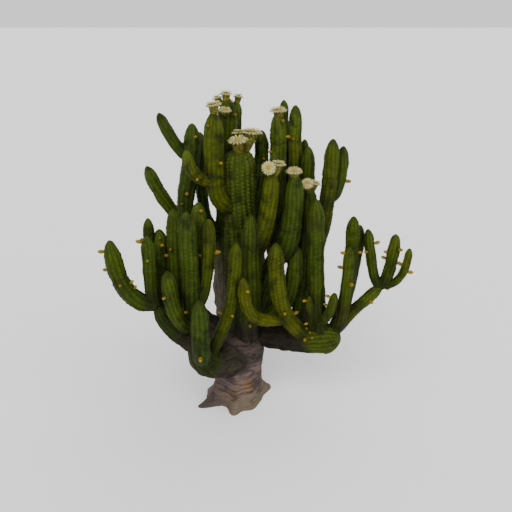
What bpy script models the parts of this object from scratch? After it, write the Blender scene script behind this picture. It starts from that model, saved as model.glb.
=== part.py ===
"""Cardon cactus, a branching columnar cactus about 6.4 m tall, cut flat at ground level.

Z is up, +X is the side with the long low bough, -Y is the side the short front arms grow from.
The origin is the centre of the flat cut. Sizes are in metres.
"""
import math

import bmesh
import bpy
import numpy as np
from mathutils import Vector
from mathutils.bvhtree import BVHTree

# ---- sizes shared by the whole plant
GAP = 0.00035            # clear distance between a limb and the limb it grows from
TRUNK_BASE = 0.49        # trunk radius just above the root flare
TRUNK_NECK = 0.475       # narrowest radius of the trunk
TRUNK_FORK = 0.51        # trunk radius where the boughs leave it
TRUNK_TOP = 1.48         # height of the last full ring of the trunk
TRUNK_CROWN = 1.72       # height of the rounded top of the trunk
TRUNK_AXIS = 1.75        # height that a share of 1 up the trunk stands for
TRUNK_LEAN = 0.06        # sideways lean of the trunk per metre of height, toward +X
ARM_FOOT = 0.66          # an arm's radius at its foot, as a share of its full radius
BOUGH_FOOT = 1.10        # the same for boughs, which widen where they join
FOOT_LENGTH = 1.6        # distance over which the foot swells to full width, in radii
CAP_LENGTH = 2.4         # length of the rounded tip, in radii
CAPS = {"leader": 0.85, "right_bough": 1.55, "right_arm_8": 3.0}   # the same for limbs with a blunter or sharper tip
TAPERS = {"right_bough": -0.42, "leader": 0.0, "front_arm_2": 0.26}   # share of the radius lost by the tip, where it is not its kind's
# Limbs with a foot of their own: its width in radii, and the distance in radii over which it eases off
FEET = {"leader": (1.16, 1.6), "left_bough": (1.36, 3.0), "front_arm_2": (1.28, 3.6), "top_right_arm_7": (1.60, 8.0),
        "top_right_arm_8": (1.40, 7.0), "right_arm_3": (1.15, 1.6), "left_arm_1": (0.80, 7.0)}
RIB_DEPTH = 0.13         # depth of the grooves between ribs, as a share of the radius
FRUIT_RADIUS = 0.042

# Roots swell out of the trunk at the ground: direction (degrees), reach beyond the trunk, half width (degrees)
ROOTS = [
    (-150, 0.36, 12),
    (-174, 0.16, 22),
    (-96, 0.26, 12),
    (-62, 0.13, 22),
    (36, 0.33, 22),
    (105, 0.30, 18),
    (152, 0.20, 18),
]

# Boughs: name, parent, share of the way up the parent, top of the axis, radius, hug, dip
# hug is how strongly a limb first runs outward and then turns up, dip lowers the outward run.
BOUGHS = [
    ("left_bough", "trunk", 0.70, (-0.81, -0.97, 1.84), 0.320, 0.80, 0.52),
    ("right_bough", "trunk", 0.93, (2.10, -0.45, 1.58), 0.238, 0.15, 0.24),
    ("left_side_bough", "left_bough", 0.92, (-1.50, -0.97, 2.60), 0.182, 0.50, -0.10),
    ("right_far_bough", "right_bough", 0.88, (2.87, -0.45, 2.78), 0.130, 0.00, -0.17),
    ("rear_bough", "trunk", 0.86, (0.52, 1.15, 1.84), 0.190, 0.50, 0.10),
    ("rear_left_bough", "trunk", 0.76, (-1.26, 0.80, 1.89), 0.330, 0.55, 0.10),
    ("rear_right_bough", "right_bough", 0.35, (1.81, 0.75, 1.92), 0.160, 0.60, 0.10),
]

# Green stems that carry the upper arms, in the same columns
STEMS = [
    ("leader", "trunk", 0.80, (0.07, -0.05, 5.37), 0.310, 0.20, 0.00),
    ("rear_left_stem", "trunk", 0.86, (-0.16, 0.35, 6.28), 0.205, 3.40, 0.00),
    ("rear_right_stem", "trunk", 0.92, (0.88, 0.00, 3.47), 0.220, 0.25, 0.00),
    ("right_stem", "right_bough", 0.50, (1.42, -0.05, 4.65), 0.170, 0.75, 0.00),
]

# Arms, the upright ribbed columns, in the same columns
ARMS = [
    ("left_arm_1", "left_bough", 0.90, (-0.88, -1.00, 4.41), 0.177, 0.30, 0.00),
    ("left_arm_2", "left_bough", 0.72, (-0.65, -1.40, 2.85), 0.177, 1.00, -0.06),
    ("left_arm_3", "left_arm_1", 0.30, (-0.48, -0.80, 4.22), 0.123, 0.85, 0.00),
    ("left_arm_4", "left_arm_1", 0.28, (-0.70, -0.45, 4.44), 0.155, 0.85, 0.00),
    ("left_arm_5", "left_side_bough", 0.45, (-1.17, -0.50, 4.32), 0.155, 0.85, 0.00),
    ("left_arm_6", "left_side_bough", 0.72, (-1.46, -0.42, 3.90), 0.168, 0.85, 0.00),
    ("left_arm_8", "left_side_bough", 0.98, (-1.60, -1.05, 3.97), 0.139, 0.75, 0.00),
    ("left_arm_7", "left_arm_8", 0.14, (-1.66, -0.45, 4.13), 0.112, 0.90, 0.00),
    ("left_arm_9", "left_side_bough", 0.97, (-2.29, -1.05, 3.89), 0.168, 0.80, 0.07),
    ("left_arm_10", "left_arm_1", 0.14, (-1.23, -1.32, 3.39), 0.150, 0.80, -0.10),
    ("front_arm_2", "trunk", 0.78, (0.30, -0.50, 4.24), 0.245, 0.95, 0.10),
    ("front_arm_1", "left_bough", 0.62, (0.02, -0.90, 3.78), 0.128, 0.80, -0.75),
    ("right_arm_9", "right_bough", 0.68, (0.76, -0.80, 3.75), 0.165, 1.00, -0.62),
    ("right_arm_10", "right_arm_9", 0.33, (0.15, -1.05, 3.15), 0.123, 1.10, 0.02),
    ("right_arm_1", "right_bough", 0.84, (1.51, -0.52, 4.52), 0.166, 0.75, 0.00),
    ("right_arm_3", "right_bough", 0.88, (2.40, -0.25, 3.93), 0.138, 0.42, 0.00),
    ("right_arm_2", "right_arm_3", 0.16, (2.23, -0.50, 4.18), 0.134, 0.75, 0.00),
    ("right_arm_4", "right_arm_3", 0.10, (2.15, -0.72, 3.64), 0.118, 0.80, 0.00),
    ("right_arm_5", "right_far_bough", 0.95, (3.06, -0.45, 3.81), 0.128, 0.60, 0.00),
    ("right_arm_6", "right_far_bough", 0.97, (3.33, -0.50, 3.54), 0.083, 0.85, 0.02),
    ("right_arm_7", "right_far_bough", 0.93, (2.53, -0.38, 3.89), 0.107, 0.35, 0.00),
    ("right_arm_8", "right_bough", 0.73, (1.42, -0.62, 2.60), 0.094, 0.30, -0.20),
    ("right_arm_11", "rear_right_stem", 0.12, (1.18, -0.22, 3.50), 0.178, 0.95, 0.00),
    ("right_arm_12", "right_arm_8", 0.40, (1.90, -0.75, 2.72), 0.100, 0.75, 0.00),
    ("top_left_arm_6", "leader", 0.72, (-0.39, -0.30, 6.10), 0.198, 1.35, 0.00),
    ("top_left_arm_3", "top_left_arm_6", 0.40, (-0.89, -0.45, 5.43), 0.118, 0.90, 0.00),
    ("top_left_arm_4", "rear_left_stem", 0.47, (-0.83, 0.20, 5.81), 0.175, 2.50, -0.50),
    ("top_left_arm_1", "top_left_arm_4", 0.75, (-1.47, 0.30, 5.99), 0.122, 0.30, 0.00),
    ("top_left_arm_2", "rear_left_stem", 0.448, (-1.75, 0.30, 4.96), 0.135, 0.53, 0.00),
    ("top_left_arm_5", "rear_left_stem", 0.48, (-0.71, 0.55, 5.58), 0.120, 1.30, 0.00),
    ("top_left_arm_7", "rear_left_stem", 0.60, (0.00, 0.62, 6.19), 0.122, 0.85, 0.00),
    ("top_arm_1", "leader", 0.55, (0.50, 0.42, 5.64), 0.148, 0.95, 0.00),
    ("top_right_arm_7", "leader", 0.50, (0.68, -0.62, 5.07), 0.168, 0.80, 0.12),
    ("top_right_arm_8", "rear_right_stem", 0.90, (1.12, -0.52, 4.99), 0.185, 0.75, 0.00),
    ("top_right_arm_1", "rear_right_stem", 0.80, (0.82, 0.30, 6.02), 0.171, 0.85, 0.00),
    ("top_right_arm_6", "rear_right_stem", 0.90, (0.74, -0.15, 5.35), 0.123, 0.80, 0.00),
    ("top_right_arm_3", "right_stem", 0.45, (1.14, 0.35, 6.13), 0.135, 0.85, 0.00),
    ("top_right_arm_2", "right_stem", 0.50, (0.93, 0.70, 6.18), 0.102, 0.80, 0.00),
    ("top_right_arm_4", "right_stem", 0.62, (1.39, 0.20, 5.37), 0.150, 0.90, 0.00),
    ("top_right_arm_9", "right_stem", 0.52, (1.85, 0.05, 5.54), 0.155, 0.74, 0.00),
    ("top_right_arm_10", "top_right_arm_9", 0.52, (2.07, 0.22, 5.37), 0.135, 0.80, 0.00),
    ("top_right_arm_11", "top_right_arm_4", 0.30, (1.34, 0.50, 5.45), 0.094, 0.90, 0.00),
    ("rear_arm_1", "rear_bough", 0.95, (-0.08, 1.30, 4.22), 0.161, 0.80, 0.00),
    ("rear_arm_2", "rear_bough", 0.98, (0.37, 1.55, 4.37), 0.171, 0.60, 0.00),
    ("rear_arm_3", "rear_bough", 0.70, (1.39, 1.15, 3.55), 0.150, 0.90, 0.00),
    ("rear_arm_4", "rear_left_bough", 0.98, (-1.48, 0.95, 3.22), 0.150, 0.70, 0.00),
    ("rear_arm_5", "rear_left_bough", 0.70, (-1.11, 1.15, 3.46), 0.150, 0.80, 0.00),
    ("rear_arm_6", "rear_right_bough", 0.97, (1.65, 1.00, 3.75), 0.150, 0.70, 0.00),
]

# Ripe fruit: places along each arm as (share of its length, bearing); bearing 0 faces -Y and 90 faces +X
FRUIT = {
    "left_arm_9": [(0.87, -65), (0.65, -95), (0.48, 6), (0.43, 80), (0.34, 80)],
    "left_arm_8": [(0.95, -40), (0.90, -85), (0.67, 2)],
    "left_arm_6": [(0.90, 9), (0.82, 20)],
    "left_arm_5": [(0.67, -13)],
    "left_arm_10": [(0.67, -33)],
    "left_arm_1": [(0.28, -35)],
    "left_arm_2": [(0.32, 1)],
    "left_arm_4": [(0.92, 22)],
    "left_arm_3": [(0.58, -90), (0.63, 85)],
    "front_arm_1": [(0.45, 28)],
    "right_arm_10": [(0.84, 29)],
    "top_left_arm_4": [(0.43, -13), (0.90, 25)],
    "top_left_arm_6": [(0.87, -28), (0.55, 52)],
    "top_left_arm_3": [(0.37, -9)],
    "rear_left_stem": [(0.93, 43)],
    "top_arm_1": [(0.75, 15)],
    "top_right_arm_1": [(0.93, 21)],
    "top_right_arm_3": [(0.81, -50)],
    "top_right_arm_10": [(0.40, 90)],
    "right_arm_4": [(0.93, -70), (0.77, -85), (0.62, 20)],
    "right_arm_2": [(0.67, 80)],
    "right_arm_12": [(0.88, -90)],
    "right_arm_7": [(0.73, 85), (0.63, -44)],
    "right_arm_5": [(0.52, -90), (0.64, -80), (0.73, 38)],
    "right_arm_6": [(0.63, -90), (0.53, 90)],
    "right_far_bough": [(0.73, 27)],
    "right_arm_11": [(0.68, -75)],
    "right_arm_9": [(0.42, 9)],
    "right_arm_8": [(0.90, -70), (0.40, -60)],
    "rear_arm_1": [(0.80, 170)],
    "rear_arm_3": [(0.75, 150)],
    "rear_arm_4": [(0.78, -160)],
    "rear_arm_6": [(0.82, 120)],
}

# Flowers: arm, centre of the open face, direction it faces, radius of the open face
FLOWERS = [
    ("rear_left_stem", (-0.18, 0.33, 6.37), (0.05, -0.05, 1.00), 0.125),
    ("rear_left_stem", (-0.36, 0.34, 6.29), (-0.25, 0.00, 1.00), 0.100),
    ("top_left_arm_7", (0.05, 0.60, 6.28), (0.12, 0.10, 1.00), 0.105),
    ("top_left_arm_6", (-0.39, -0.28, 6.25), (-0.15, -0.05, 1.00), 0.155),
    ("rear_left_stem", (-0.19, 0.05, 6.10), (0.02, -0.20, 1.00), 0.125),
    ("leader", (0.05, -0.33, 5.61), (-0.08, -0.20, 1.00), 0.190),
    ("leader", (0.09, -0.02, 5.70), (-0.05, 0.10, 1.00), 0.170),
    ("leader", (0.32, -0.08, 5.72), (0.08, -0.05, 1.00), 0.200),
    ("top_right_arm_1", (0.81, 0.25, 6.07), (-0.05, -0.10, 1.00), 0.170),
    ("top_right_arm_7", (0.61, -0.86, 5.19), (-0.15, -0.95, 0.35), 0.135),
    ("top_right_arm_7", (0.80, -0.56, 5.22), (0.08, 0.00, 1.00), 0.145),
    ("top_right_arm_8", (1.09, -0.50, 5.07), (0.02, -0.15, 1.00), 0.155),
    ("right_stem", (1.35, -0.28, 4.77), (-0.10, -0.60, 0.90), 0.140),
    ("right_stem", (1.53, -0.13, 4.75), (0.20, -0.05, 1.00), 0.100),
]

BARK = (0.19, 0.16, 0.14, 1.0)
GREEN = (0.16, 0.21, 0.08, 1.0)


def make_material(name, colour, roughness):
    material = bpy.data.materials.new(name)
    material.use_nodes = True
    shader = material.node_tree.nodes["Principled BSDF"]
    shader.inputs["Base Color"].default_value = colour
    shader.inputs["Roughness"].default_value = roughness
    return material


def limb_axis(start, top, hug, dip, count=61):
    """Points evenly spaced along a cubic curve from the parent's axis out and up to the top of the limb."""
    start = np.array(start, float)
    top = np.array(top, float)
    up = np.array([0.0, 0.0, 1.0])
    span = top - start
    flat = np.array([span[0], span[1], 0.0])
    slack = max(0.0, 1 - hug) * span / 3
    first = start + 0.85 * hug * flat + slack - dip * up
    second = top - 0.55 * min(hug, 1.3) * span[2] * up - slack
    t = np.linspace(0, 1, 241)[:, None]
    raw = (1 - t) ** 3 * start + 3 * (1 - t) ** 2 * t * first + 3 * (1 - t) * t * t * second + t ** 3 * top
    return even(raw, np.linspace(0, 1, count))


def even(points, shares):
    """Points at the given shares of the length of a line."""
    steps = np.linalg.norm(np.diff(points, axis=0), axis=1)
    length = np.concatenate([[0.0], np.cumsum(steps)])
    wanted = np.asarray(shares) * length[-1]
    return np.stack([np.interp(wanted, length, points[:, k]) for k in range(3)], axis=-1)


def frames(points):
    """Tangent and two cross directions at each point, turned as little as possible along the line."""
    tangent = np.gradient(points, axis=0)
    tangent /= np.linalg.norm(tangent, axis=1)[:, None]
    side = np.array([1.0, 0.0, 0.0]) - tangent[0] * tangent[0][0]
    if np.linalg.norm(side) < 0.3:
        side = np.array([0.0, 1.0, 0.0]) - tangent[0] * tangent[0][1]
    sides = []
    for direction in tangent:
        side = side - direction * float(side @ direction)
        side = side / np.linalg.norm(side)
        sides.append(side)
    sides = np.array(sides)
    return tangent, sides, np.cross(tangent, sides)


def ring_shares(length, radius, inner, cap_length):
    """Shares of the length where a limb has a ring: foot, even steps up the column, then the rounded tip."""
    cap = cap_length * radius / length
    foot = FOOT_LENGTH * radius / length
    body = np.linspace(foot, 1 - cap, inner)
    tip = 1 - cap + cap * np.array([0.50, 0.88])
    return np.concatenate([[0.0], body, tip])


def limb_radius(shares, length, radius, taper, foot, cap_length):
    """Radius along a limb: a narrow foot, a gentle taper and a rounded tip."""
    along = np.asarray(shares) * length
    foot_width, foot_length = foot
    past_foot = np.clip(along / (foot_length * radius), 0, 1)
    swell = foot_width + (1 - foot_width) * past_foot * past_foot * (3 - 2 * past_foot)
    cap = cap_length * radius
    past = np.clip((along - (length - cap)) / cap, 0, 1)
    return radius * (1 - taper * np.asarray(shares)) * swell * np.clip(1 - past ** 2, 0.0, 1) ** 0.58


def tube(points, radii, sides, grooves, grow=0.0):
    """Verts and faces of a closed tube: rings round a line, a fan at each end. Odd corners dip when grooved."""
    tangent, side, cross = frames(points)
    angle = np.arange(sides) * 2 * math.pi / sides
    shape = np.where(np.arange(sides) % 2 == 0, 1.0, 1.0 - grooves)
    radius = radii[:, None] * shape[None, :] + grow
    rings = (
        points[:, None, :]
        + radius[:, :, None] * np.cos(angle)[None, :, None] * side[:, None, :]
        + radius[:, :, None] * np.sin(angle)[None, :, None] * cross[:, None, :]
    )
    low = points[0] - tangent[0] * grow
    high = points[-1] + tangent[-1] * (0.35 * radii[-1] + grow)
    verts = [tuple(v) for v in rings.reshape(-1, 3)] + [tuple(low), tuple(high)]
    bottom = len(verts) - 2
    top = len(verts) - 1
    faces = []
    for row in range(len(points) - 1):
        for k in range(sides):
            a = row * sides + k
            b = row * sides + (k + 1) % sides
            faces.append((a, b, b + sides))
            faces.append((a, b + sides, a + sides))
    last = (len(points) - 1) * sides
    for k in range(sides):
        faces.append((bottom, (k + 1) % sides, k))
        faces.append((top, last + k, last + (k + 1) % sides))
    return verts, faces


def trunk_shape(grow=0.0):
    """Verts and faces of the trunk: stacked rings with root swellings near the ground and a domed top."""
    sides = 28
    heights = [0.0, 0.07, 0.16, 0.30, 0.50, 0.80, 1.10, 1.32, TRUNK_TOP, TRUNK_TOP + 0.13]
    angle = np.arange(sides) * 2 * math.pi / sides
    verts = []
    for height in heights:
        level = height / TRUNK_TOP
        plain = TRUNK_BASE + (TRUNK_NECK - TRUNK_BASE) * min(1.0, level / 0.45)
        if level > 0.45:
            rise = min(1.0, (level - 0.45) / 0.45)
            plain = TRUNK_NECK + (TRUNK_FORK - TRUNK_NECK) * rise * rise * (3 - 2 * rise)
        if height > TRUNK_TOP:
            plain = TRUNK_FORK * 0.72
        radius = np.full(sides, plain + 0.03 * math.exp(-height / 0.25))
        for heading, reach, width in ROOTS:
            away = (angle - math.radians(heading) + math.pi) % (2 * math.pi) - math.pi
            radius += reach * math.exp(-height / 0.23) * np.exp(-((away / math.radians(width)) ** 2))
        middle = TRUNK_LEAN * height
        for k in range(sides):
            x = middle + (radius[k] + grow) * math.cos(angle[k])
            y = (radius[k] + grow) * math.sin(angle[k])
            verts.append((x, y, height - grow if height == 0 else height))
    middle = TRUNK_LEAN * TRUNK_CROWN
    verts.append((0.0, 0.0, -grow))
    verts.append((middle, 0.0, TRUNK_CROWN + grow))
    bottom = len(verts) - 2
    top = len(verts) - 1
    faces = []
    for row in range(len(heights) - 1):
        for k in range(sides):
            a = row * sides + k
            b = row * sides + (k + 1) % sides
            faces.append((a, b, b + sides))
            faces.append((a, b + sides, a + sides))
    last = (len(heights) - 1) * sides
    for k in range(sides):
        faces.append((bottom, (k + 1) % sides, k))
        faces.append((top, last + k, last + (k + 1) % sides))
    return verts, faces


def add_object(name, verts, faces, material=None):
    mesh = bpy.data.meshes.new(name)
    mesh.from_pydata(verts, [], faces)
    mesh.update()
    thing = bpy.data.objects.new(name, mesh)
    bpy.context.scene.collection.objects.link(thing)
    if material:
        mesh.materials.append(material)
    return thing


def closed(mesh):
    """Whether every edge of a mesh has exactly two faces and the mesh has some bulk."""
    work = bmesh.new()
    work.from_mesh(mesh)
    fine = len(work.faces) > 20 and all(len(edge.link_faces) == 2 for edge in work.edges)
    work.free()
    return fine


def combine(target, verts, faces, operation):
    """Boolean of a target with a closed shape given by its verts and faces."""
    helper = add_object("helper", verts, faces)
    modifier = target.modifiers.new("cut", "BOOLEAN")
    modifier.operation = operation
    modifier.object = helper
    for solver in ("EXACT", "MANIFOLD"):
        modifier.solver = solver
        graph = bpy.context.evaluated_depsgraph_get()
        mesh = bpy.data.meshes.new_from_object(target.evaluated_get(graph))
        if closed(mesh):
            break
    target.modifiers.clear()
    old = target.data
    material = old.materials[0] if old.materials else None
    target.data = mesh
    mesh.materials.clear()
    if material:
        mesh.materials.append(material)
    bpy.data.meshes.remove(old)
    helper_mesh = helper.data
    bpy.data.objects.remove(helper)
    bpy.data.meshes.remove(helper_mesh)


def keep_biggest(thing):
    """Keep the largest connected piece of a mesh and tidy the cut edges."""
    work = bmesh.new()
    work.from_mesh(thing.data)
    bmesh.ops.remove_doubles(work, verts=work.verts, dist=0.0001)
    work.faces.ensure_lookup_table()
    left = set(work.faces)
    pieces = []
    while left:
        seed = left.pop()
        piece = {seed}
        queue = [seed]
        while queue:
            face = queue.pop()
            for edge in face.edges:
                for other in edge.link_faces:
                    if other in left:
                        left.discard(other)
                        piece.add(other)
                        queue.append(other)
        pieces.append(piece)
    pieces.sort(key=lambda piece: -sum(face.calc_area() for face in piece))
    for piece in pieces[1:]:
        bmesh.ops.delete(work, geom=list(piece), context="FACES")
    loose = [vert for vert in work.verts if not vert.link_faces]
    bmesh.ops.delete(work, geom=loose, context="VERTS")
    bmesh.ops.dissolve_limit(work, angle_limit=math.radians(0.05), verts=work.verts, edges=work.edges)
    bmesh.ops.triangulate(work, faces=work.faces)
    bmesh.ops.recalc_face_normals(work, faces=work.faces)
    work.to_mesh(thing.data)
    work.free()


def lathe(start, direction, profile, sides):
    """Verts and faces of a closed body turned round a line: profile gives (distance along, radius) rings."""
    direction = np.array(direction, float) / np.linalg.norm(direction)
    start = np.array(start, float)
    lean = np.array([1.0, 0.0, 0.0]) if abs(direction[0]) < 0.7 else np.array([0.0, 1.0, 0.0])
    side = lean - direction * float(lean @ direction)
    side /= np.linalg.norm(side)
    cross = np.cross(direction, side)
    verts = []
    for distance, radius in profile[1:-1]:
        for k in range(sides):
            turn = 2 * math.pi * k / sides
            verts.append(tuple(start + direction * distance + radius * (math.cos(turn) * side + math.sin(turn) * cross)))
    verts.append(tuple(start + direction * profile[0][0]))
    verts.append(tuple(start + direction * profile[-1][0]))
    bottom = len(verts) - 2
    top = len(verts) - 1
    rows = len(profile) - 2
    faces = []
    for row in range(rows - 1):
        for k in range(sides):
            a = row * sides + k
            b = row * sides + (k + 1) % sides
            faces.append((a, b, b + sides))
            faces.append((a, b + sides, a + sides))
    last = (rows - 1) * sides
    for k in range(sides):
        faces.append((bottom, (k + 1) % sides, k))
        faces.append((top, last + k, last + (k + 1) % sides))
    return verts, faces


def fruit_shape(axis, radii, share, bearing):
    """A short rounded fruit standing out of a limb at a share of its length, on the given bearing."""
    place = even(axis, [share])[0]
    ahead = even(axis, [min(1.0, share + 0.02)])[0] - even(axis, [share - 0.02])[0]
    ahead /= np.linalg.norm(ahead)
    turn = math.radians(bearing)
    out = np.array([math.sin(turn), -math.cos(turn), 0.0])
    out = out - ahead * float(out @ ahead)
    out /= np.linalg.norm(out)
    out = out + 0.25 * ahead
    radius = float(np.interp(share, radii[0], radii[1]))
    reach = radius * 0.95
    profile = [
        (reach - 0.05, 0),
        (reach - 0.03, FRUIT_RADIUS * 0.7),
        (reach + 0.045, FRUIT_RADIUS),
        (reach + 0.095, 0),
    ]
    return lathe(place, out, profile, 5)


def flower_shape(axis, centre, facing, radius):
    """A flower: a narrow tube from inside the limb's tip, widening to an open dish."""
    facing = np.array(facing, float) / np.linalg.norm(facing)
    centre = np.array(centre, float)
    tube_length = 1.25 * radius + 0.10
    start = centre - facing * tube_length
    inside = axis[int(0.955 * (len(axis) - 1))]
    start = start + (inside - start) * 0.55
    along = centre - start
    length = float(np.linalg.norm(along))
    profile = [
        (-0.02, 0),
        (0.0, radius * 0.36),
        (length - 0.03, radius * 0.62),
        (length - 0.006, radius),
        (length + 0.012, radius * 0.93),
        (length - 0.004, 0),
    ]
    return lathe(start, along, profile, 8)


for old in list(bpy.data.objects):
    bpy.data.objects.remove(old)

bark = make_material("bark", BARK, 0.9)
green = make_material("green_flesh", GREEN, 0.6)

axes = {"trunk": np.array([(TRUNK_LEAN * z, 0.0, z) for z in np.linspace(0, TRUNK_AXIS, 61)])}
curves = {}
cutters = {"trunk": trunk_shape(GAP)}
trees = {"trunk": BVHTree.FromPolygons(*cutters["trunk"])}
add_object("trunk", *trunk_shape(), bark)

for rows, material, grooves, inner, taper, foot_width in (
    (BOUGHS, bark, 0.06, 5, 0.12, BOUGH_FOOT),
    (STEMS, green, RIB_DEPTH, 5, 0.10, 1.0),
    (ARMS, green, RIB_DEPTH, 4, 0.04, ARM_FOOT),
):
    for name, parent, share, top, radius, hug, dip in rows:
        start = even(axes[parent], [share])[0]
        axis = limb_axis(start, top, hug, dip)
        axes[name] = axis
        length = float(np.linalg.norm(np.diff(axis, axis=0), axis=1).sum())
        cap_length = CAPS.get(name, CAP_LENGTH)
        shares = ring_shares(length, radius, inner, cap_length)
        points = even(axis, shares)
        foot = FEET.get(name, (foot_width, FOOT_LENGTH))
        radii = limb_radius(shares, length, radius, TAPERS.get(name, taper), foot, cap_length)
        sides = 14 if radius > 0.19 else 12 if radius > 0.1 and not name.startswith("rear_arm") else 10
        verts, faces = tube(points, radii, sides, grooves)
        limb = add_object(name, verts, faces, material)
        shape = BVHTree.FromPolygons(verts, faces)
        for other, tree in trees.items():
            if tree.overlap(shape):
                combine(limb, *cutters[other], "DIFFERENCE")
        keep_biggest(limb)
        curves[name] = (shares, radii)
        cutters[name] = tube(points, radii, sides, grooves, GAP)
        trees[name] = BVHTree.FromPolygons(*cutters[name])

extras = []
for name, places in FRUIT.items():
    for share, bearing in places:
        extras.append((name, fruit_shape(axes[name], curves[name], share, bearing)))
for name, centre, facing, radius in FLOWERS:
    extras.append((name, flower_shape(axes[name], centre, facing, radius)))
placed = []
for name, shape in extras:
    tree = BVHTree.FromPolygons(*shape)
    blocked = [other for other in trees if other != name and trees[other].overlap(tree)]
    blocked += [other for other, used in placed if other != name and used.overlap(tree)]
    if not blocked:
        combine(bpy.data.objects[name], *shape, "UNION")
        placed.append((name, tree))
for name in sorted({name for name, tree in placed}):
    keep_biggest(bpy.data.objects[name])
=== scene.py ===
"""Looks of a cardon cactus: grey bark below, ribbed green columns above, white flowers and ochre fruit.

Z is up, +X is the side with the long low bough, -Y is the side the short front arms grow from, in metres.
"""
import math

import bpy
import numpy as np
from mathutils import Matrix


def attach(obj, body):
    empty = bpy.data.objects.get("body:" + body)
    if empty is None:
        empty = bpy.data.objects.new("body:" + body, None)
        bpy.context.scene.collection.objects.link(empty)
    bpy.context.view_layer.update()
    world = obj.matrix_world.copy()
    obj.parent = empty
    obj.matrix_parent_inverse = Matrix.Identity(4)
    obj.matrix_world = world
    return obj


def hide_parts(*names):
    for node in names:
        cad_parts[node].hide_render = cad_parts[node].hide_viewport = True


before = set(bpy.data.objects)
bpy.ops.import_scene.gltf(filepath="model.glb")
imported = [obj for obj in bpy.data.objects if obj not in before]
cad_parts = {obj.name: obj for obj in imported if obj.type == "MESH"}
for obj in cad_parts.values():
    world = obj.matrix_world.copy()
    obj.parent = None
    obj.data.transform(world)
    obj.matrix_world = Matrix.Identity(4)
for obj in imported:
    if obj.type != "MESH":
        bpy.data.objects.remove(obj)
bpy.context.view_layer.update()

UP = np.array([0.0, 0.0, 1.0])

# ---- the plant's own numbers, the same as in its solids
TRUNK_BASE = 0.49
TRUNK_NECK = 0.475
TRUNK_FORK = 0.51
TRUNK_TOP = 1.48
TRUNK_CROWN = 1.72
TRUNK_LEAN = 0.06
TRUNK_AXIS = 1.75
NECK_SHARE = 0.45        # shares of TRUNK_TOP where the trunk is narrowest and where it has its full fork
FORK_SHARE = 0.90
ROOT_FADE = 0.23         # height over which a root swelling dies away
CAPS = {"leader": 0.85, "right_bough": 1.55, "right_arm_8": 3.0}
TAPERS = {"right_bough": -0.42, "leader": 0.0, "front_arm_2": 0.26}
FEET = {"leader": (1.16, 1.6), "left_bough": (1.36, 3.0), "front_arm_2": (1.28, 3.6),
        "top_right_arm_7": (1.60, 8.0), "top_right_arm_8": (1.40, 7.0), "right_arm_3": (1.15, 1.6),
        "left_arm_1": (0.80, 7.0)}
FOOT_LENGTH = 1.6
CAP_LENGTH = 2.4
AXIS_POINTS = 481
TIP_SHAPE = 0.58         # power of the tip's curve, 1/2 for an ellipse

# ---- the finer rows and relief of the surfaces, in metres where they are lengths
TRUNK_ROWS = 190         # rows of points up to TRUNK_TOP
TRUNK_COLUMNS = 400
ROW_STEP = 0.024
RIB_COLUMNS = 6          # columns of points to a rib
USUAL_RIB = (0.070, 0.009)    # depth of a groove as a share of the radius, and height of the bead at a pad
LEADER_RIB = (0.13, 0.020)
PINCH_DEPTH = 0.10       # share of the radius that a pinched ring takes away
PINCH_WIDTH = 0.030
PAD_SPAN = (0.0085, 0.012)    # half the width and half the height of a spine pad
SPINE_RADIUS = 0.0014
SPINE_LENGTHS = (0.014, 0.028)
FRUIT_LENGTH = 3.5       # times the fruit's size
SPACING = 0.075          # distance between spine pads along a rib
RIB_SHIFT = 0.618        # share of that distance by which each rib's pads stand above the last rib's
USUAL_DOTS = 0.22        # how strongly spine pads show where a limb's looks don't say
CROWD_REACH = 0.11       # how fast the painted shade from a near limb fades
FOOT_SHADE_REACH = 0.032       # how fast the painted shade round a bough's foot fades

# Roots that swell out of the trunk at the ground: direction in degrees, reach, half width in degrees
ROOTS = [(-150, 0.36, 12), (-174, 0.16, 22), (-96, 0.26, 12), (-62, 0.13, 22), (36, 0.33, 22),
         (105, 0.30, 18), (152, 0.20, 18)]

# Boughs: name, parent, share of the way up the parent, top of the axis, radius, hug (how far out the limb
# runs before it rises) and any dip below its start
BOUGHS = [
    ("left_bough", "trunk", 0.70, (-0.81, -0.97, 1.84), 0.320, 0.80, 0.52),
    ("right_bough", "trunk", 0.93, (2.10, -0.45, 1.58), 0.238, 0.15, 0.24),
    ("left_side_bough", "left_bough", 0.92, (-1.50, -0.97, 2.60), 0.182, 0.50, -0.10),
    ("right_far_bough", "right_bough", 0.88, (2.87, -0.45, 2.78), 0.130, 0.00, -0.17),
    ("rear_bough", "trunk", 0.86, (0.52, 1.15, 1.84), 0.190, 0.50, 0.10),
    ("rear_left_bough", "trunk", 0.76, (-1.26, 0.80, 1.89), 0.330, 0.55, 0.10),
    ("rear_right_bough", "right_bough", 0.35, (1.81, 0.75, 1.92), 0.160, 0.60, 0.10),
]

# Green stems that carry the upper arms, in the same columns
STEMS = [
    ("leader", "trunk", 0.80, (0.07, -0.05, 5.37), 0.310, 0.20),
    ("rear_left_stem", "trunk", 0.86, (-0.16, 0.35, 6.28), 0.205, 3.40),
    ("rear_right_stem", "trunk", 0.92, (0.88, 0.00, 3.47), 0.220, 0.25),
    ("right_stem", "right_bough", 0.50, (1.42, -0.05, 4.65), 0.170, 0.75),
]

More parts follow.
